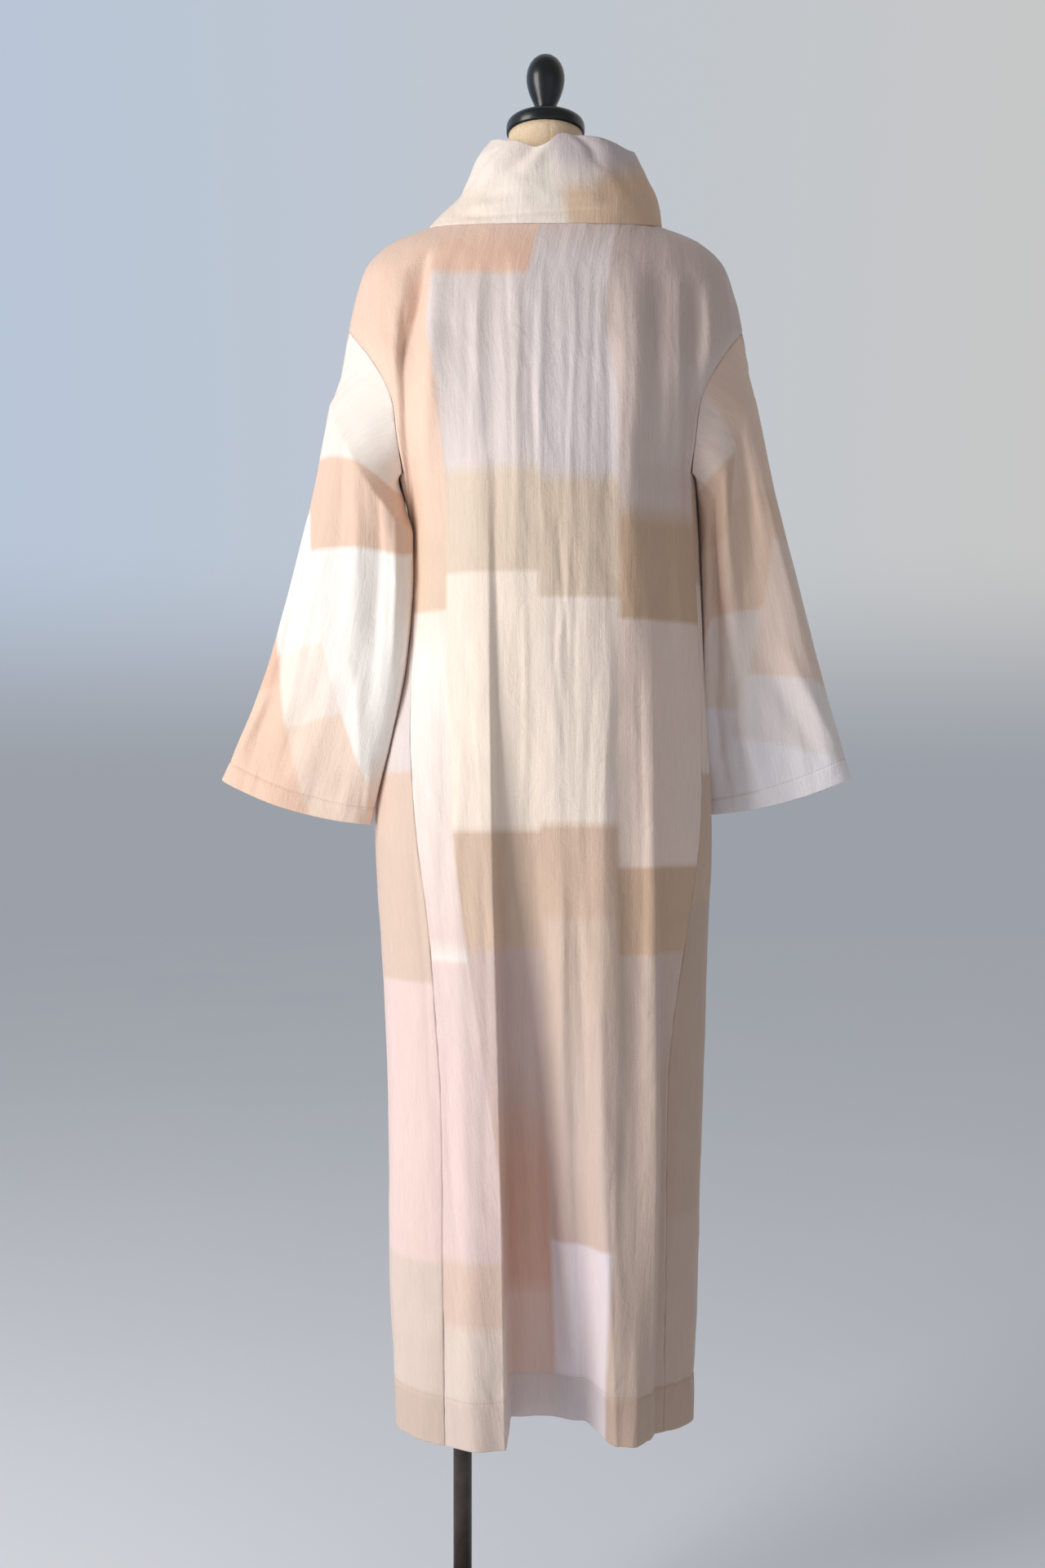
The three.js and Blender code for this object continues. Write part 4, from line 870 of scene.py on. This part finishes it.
SEAM_SIDE, SEAM_BACK, SEAM_FRONT = 1573, 1552, 1534       # heights of the neck seam
COLLAR = table(
    "step left right back front",
    (0.00, 126, 126, 72, 82), (0.22, 107, 124, 71, 81), (0.40, 92, 120, 72, 80), (0.60, 84, 113, 69, 77),
    (0.80, 76, 106, 65, 73), (1.00, 63, 97, 61, 68))
# upper edge: degrees round from the back, and height
COLLAR_EDGE = table(
    "at z",
    (-180, 1628), (-120, 1644), (-80, 1659), (-50, 1652), (-37, 1646), (-2, 1638), (9, 1650), (30, 1649),
    (62, 1646), (85, 1650), (120, 1641), (180, 1628))
COLLAR_BACK_FOLDS = troughs(
    (-4, 1648, -70, 1584, 10, 4.6), (-24, 1650, -92, 1590, 11, -2.6), (14, 1654, -40, 1586, 9, -2.6),
    (32, 1652, 66, 1610, 6, 3.4), (46, 1656, 96, 1606, 11, -2.6), (70, 1640, 104, 1570, 11, 2.2),
    (-50, 1640, -100, 1590, 7, 1.6))
COLLAR_FRONT_FOLDS = troughs(
    (30, 1630, -50, 1550, 9, 4.0), (-10, 1636, -70, 1570, 9, -3.2), (50, 1640, 80, 1560, 9, 3.0),
    (10, 1620, 60, 1545, 9, -2.6))

degrees = np.arange(240) * 1.5 - 180
turn = np.radians(degrees)[None]
steps = spaced(0, 1, 52, 0.008, 0.016, 0.985, 0.993)[:, None]
behind = abs(turn) <= np.pi / 2
half = np.where(turn < 0, read(COLLAR, "step", "left", steps), read(COLLAR, "step", "right", steps))
depth = np.where(behind, read(COLLAR, "step", "back", steps), read(COLLAR, "step", "front", steps))
seam_z = SEAM_SIDE + (np.where(behind, SEAM_BACK, SEAM_FRONT) - SEAM_SIDE) * abs(along(turn))
edge_z = read(COLLAR_EDGE, "at", "z", degrees)[None]
collar_base = np.stack([across(turn) * half, -along(turn) * depth,
                        seam_z + 0.5 + (edge_z - seam_z - 0.5) * steps], -1)
collar_u = round_cut(collar_base)[0]
rise = np.linalg.norm(np.diff(collar_base, axis=0), axis=-1)
collar_v = np.concatenate([np.zeros((1, 240)), np.cumsum(rise, 0)], 0)
x, z = collar_base[..., 0], collar_base[..., 2]
held = smooth(collar_v / 14)
lift = -held * np.where(behind, trough_depth(COLLAR_BACK_FOLDS, x, z, 3.0),
                        trough_depth(COLLAR_FRONT_FOLDS, x, z, 3.0))
# at the back a crease 14 mm above the seam and a soft roll over it, both fading to the sides
for deep, up, slant, width, end in ((-2.8, 14, 0.05, 4.0, 70), (2.2, 23, 0.03, 8.0, 80)):
    lift += (deep * np.exp(-((collar_v - up - slant * x) / width) ** 2)
             * smooth((x + 96) / 30) * smooth((end - x) / 40) * behind)
lift += held * (1.2 * rumple(collar_u, collar_v, 34, 26, 81) + 0.6 * rumple(collar_u, collar_v, 15, 15, 82))
lift += 0.5 * rumple(collar_u, collar_v, 11, 30, 83) * np.exp(-(collar_v / 10) ** 2)
lift -= 0.3 * np.exp(-(collar_v / 1.0) ** 2)
collar_outer = collar_base + normals_of(collar_base, True) * lift[..., None]
collar, _ = shell("collar_cloth", collar_outer, collar_u, collar_v, closed=True, thick=1.7)
collar.data.materials.append(printed_cotton("printed_cotton_collar", [
    (-400, 1, [(0, "#F3E3D6", 0), (60, "#F6E9DE", 20)]),
    (-60, 22, [(0, "#F8EDE3", 0), (70, "#F3E7DF", 14)]),
    (22, 7, [(0, "#E8CBB2", 0), (34, "#EEE1DA", 9), (58, "#D8CCCF", 12)]),
    (66, 14, [(0, "#DFBFA4", 0), (46, "#CEC2C5", 14), (84, "#C6BBC0", 14)]),
    (210, 6, [(0, "#EFDCCD", 0), (50, "#F2E6DC", 20)]),
], turn=-9, reach=0.3))
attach(collar, "root")
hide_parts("collar")

# ---- Dress form ---------------------------------------------------------------------------------
# A limbless torso of padded papier-mache with natural linen stretched over it, its panels seamed
# down the centre back. It carries the dress at the shoulders and ends in a straight neck.

FORM = table(
    "z side back front",
    (872, 116, 70, 74), (905, 134, 84, 86), (980, 140, 90, 90), (1080, 126, 84, 88), (1170, 108, 76, 84),
    (1250, 118, 82, 96), (1330, 132, 92, 106), (1410, 144, 96, 98), (1470, 162, 88, 82), (1510, 172, 76, 70),
    (1535, 168, 64, 58), (1551, 156, 54, 48), (1561, 135, 48, 44), (1569, 112, 44, 42), (1580, 82, 42, 41),
    (1596, 58, 41, 41), (1624, 44, 40.5, 40.5), (1673.7, 40, 40, 40))
levels = spaced(872, 1673.7, 120, *FORM["z"])[:, None]
turn = (np.arange(128) / 128 * 2 * np.pi)[None]
rounded = np.where(np.cos(turn) > 0, read(FORM, "z", "back", levels), read(FORM, "z", "front", levels))
seam = 0.5 * np.exp(-((((turn - np.radians(6) + np.pi) % (2 * np.pi)) - np.pi) * 40 / 0.9) ** 2)
rings = np.stack([(read(FORM, "z", "side", levels) - seam) * np.sin(turn), -(rounded - seam) * np.cos(turn),
                  levels + 0 * turn], -1)
count, sides = rings.shape[:2]
faces = [[r * sides + c, r * sides + (c + 1) % sides, (r + 1) * sides + (c + 1) % sides, (r + 1) * sides + c]
         for r in range(count - 1) for c in range(sides)]
faces += [list(range(sides))[::-1], [(count - 1) * sides + c for c in range(sides)]]
torso = piece_of("form_linen_torso", rings.reshape(-1, 3), faces, flat_ends=2)
# natural linen canvas, threads 0.6 mm apart and drawn 1.3 mm so that they show: matt, uneven, tan
linen, linen_shader = finish_of("linen_canvas", {"Roughness": 0.9, "Sheen Weight": 0.12,
                                                 "Specular IOR Level": 0.25})
spot = node(linen, "TexCoord").outputs["Object"]
weft, warp = [noise(linen, spot, stretch) for stretch in ((160, 160, 900), (800, 800, 110))]
woven = node(linen, "Math", {0: weft, 1: warp}, operation="ADD").outputs[0]
bleached = node(linen, "MapRange", {0: woven, 1: 0.7, 2: 1.3}).outputs[0]
flax = mixed(linen, bleached, paint("#E2C7A5"), paint("#F3DDC0"))
linen.node_tree.links.new(flax, linen_shader.inputs["Base Color"])
linen.node_tree.links.new(bump(linen, woven, 0.6, 0.0005), linen_shader.inputs["Normal"])
torso.data.materials.append(linen)
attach(torso, "root")
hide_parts("form_torso")

# ---- Neck cap and finial ------------------------------------------------------------------------
# Turned wood, lacquered gloss black: a flat-domed disc that closes the neck, and an egg-shaped
# knob on a short waisted stem, screwed into it.

CAP_RINGS = [(41.0, 1674), (42.2, 1674.9), (42.5, 1676.2), (42.5, 1682), (42.0, 1684.6), (40.6, 1687),
             (38.0, 1689), (34.5, 1690.3), (28, 1691.2), (18, 1691.8), (6, 1692)]
KNOB_RINGS = [(14.0, 1692.3), (14.6, 1692.9), (14.4, 1694.2), (12.6, 1696.2), (11.6, 1699), (11.3, 1702),
              (11.8, 1705), (13.4, 1709), (15.7, 1714), (18.0, 1720), (19.7, 1726), (20.7, 1732),
              (20.7, 1738), (19.6, 1744), (17.4, 1749.5), (14.0, 1754.3), (9.8, 1757.7), (5.2, 1759.5),
              (1.5, 1760)]


def turned(name, profile, place=(0, 0), sides=96):
    """Turns a piece as on a lathe: a disc, extruded ring by ring to each radius and height."""
    radius, height = profile[0]
    bpy.ops.mesh.primitive_circle_add(vertices=sides, radius=radius / 1000, fill_type="TRIFAN",
                                      location=(place[0] / 1000, place[1] / 1000, height / 1000))
    piece = bpy.context.active_object
    piece.name = piece.data.name = name
    bpy.ops.object.transform_apply(location=True)
    bpy.ops.object.mode_set(mode="EDIT")
    bpy.ops.mesh.select_all(action="SELECT")
    for (was, low), (now, high) in zip(profile, profile[1:]):
        bpy.ops.mesh.extrude_region_move(TRANSFORM_OT_translate={"value": (0, 0, (high - low) / 1000)})
        bpy.ops.transform.resize(value=(now / was, now / was, 1),
                                 center_override=(place[0] / 1000, place[1] / 1000, high / 1000))
    bpy.ops.mesh.select_all(action="SELECT")
    bpy.ops.mesh.normals_make_consistent(inside=False)
    bpy.ops.object.mode_set(mode="OBJECT")
    bpy.ops.object.shade_smooth_by_angle(angle=math.radians(50))
    piece.select_set(False)
    return piece


# black spirit lacquer over turned beech: a soft gloss, blue-black, with the faintest orange peel
lacquer, lacquer_shader = finish_of("black_lacquered_wood", {
    "Base Color": paint("#0B1218"), "Roughness": 0.34, "Coat Weight": 0.3, "Coat Roughness": 0.16,
    "IOR": 1.45})
peel = noise(lacquer, node(lacquer, "TexCoord").outputs["Object"], scale=260.0)
lacquer.node_tree.links.new(bump(lacquer, peel, 0.12, 0.0003), lacquer_shader.inputs["Normal"])
for piece, stands_for in ((turned("cap_disc", CAP_RINGS), "neck_cap"),
                          (turned("egg_knob", KNOB_RINGS), "finial")):
    piece.data.materials.append(lacquer)
    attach(piece, "root")
    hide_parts(stands_for)

# ---- Pole and base ------------------------------------------------------------------------------
# A steel tube 20 mm thick, off centre under the left of the form, in a round cast base. Both are
# painted dark brown in satin. The base is plain, with a low hub that grips the tube.

POLE_RINGS = [(9.4, 30.3), (10.0, 31.0), (10.0, 300), (10.0, 600), (10.0, 871.0), (9.4, 871.7)]
BASE_RINGS = [(158.6, 0), (160.0, 1.4), (160.0, 6.0), (159.2, 7.4), (157, 8.0), (120, 10.0), (80, 12.0),
              (46, 14.4), (36, 16), (30, 19), (26.6, 23), (26, 24.5), (25.2, 27.8), (23.6, 29.4), (22, 30.0)]
# cast iron and steel under dark brown enamel: satin, with fine dust and a little wear
enamel, enamel_shader = finish_of("dark_brown_enamel", {"Roughness": 0.42, "Metallic": 0.15, "IOR": 1.5})
spot = node(enamel, "TexCoord").outputs["Object"]
worn = noise(enamel, spot, scale=46.0, detail=5.0, Roughness=0.65)
dusty = node(enamel, "MapRange", {0: worn, 1: 0.42, 2: 0.72}).outputs[0]
brown = mixed(enamel, dusty, paint("#352B27"), paint("#4A3E38"))
enamel.node_tree.links.new(brown, enamel_shader.inputs["Base Color"])
grain = noise(enamel, spot, scale=700.0)
enamel.node_tree.links.new(bump(enamel, grain, 0.2, 0.0002), enamel_shader.inputs["Normal"])
for piece, stands_for in ((turned("stand_tube", POLE_RINGS, (-90, 0), 64), "stand_pole"),
                          (turned("stand_foot", BASE_RINGS, (-90, 0), 128), "stand_base")):
    piece.data.materials.append(enamel)
    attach(piece, "root")
    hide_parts(stands_for)
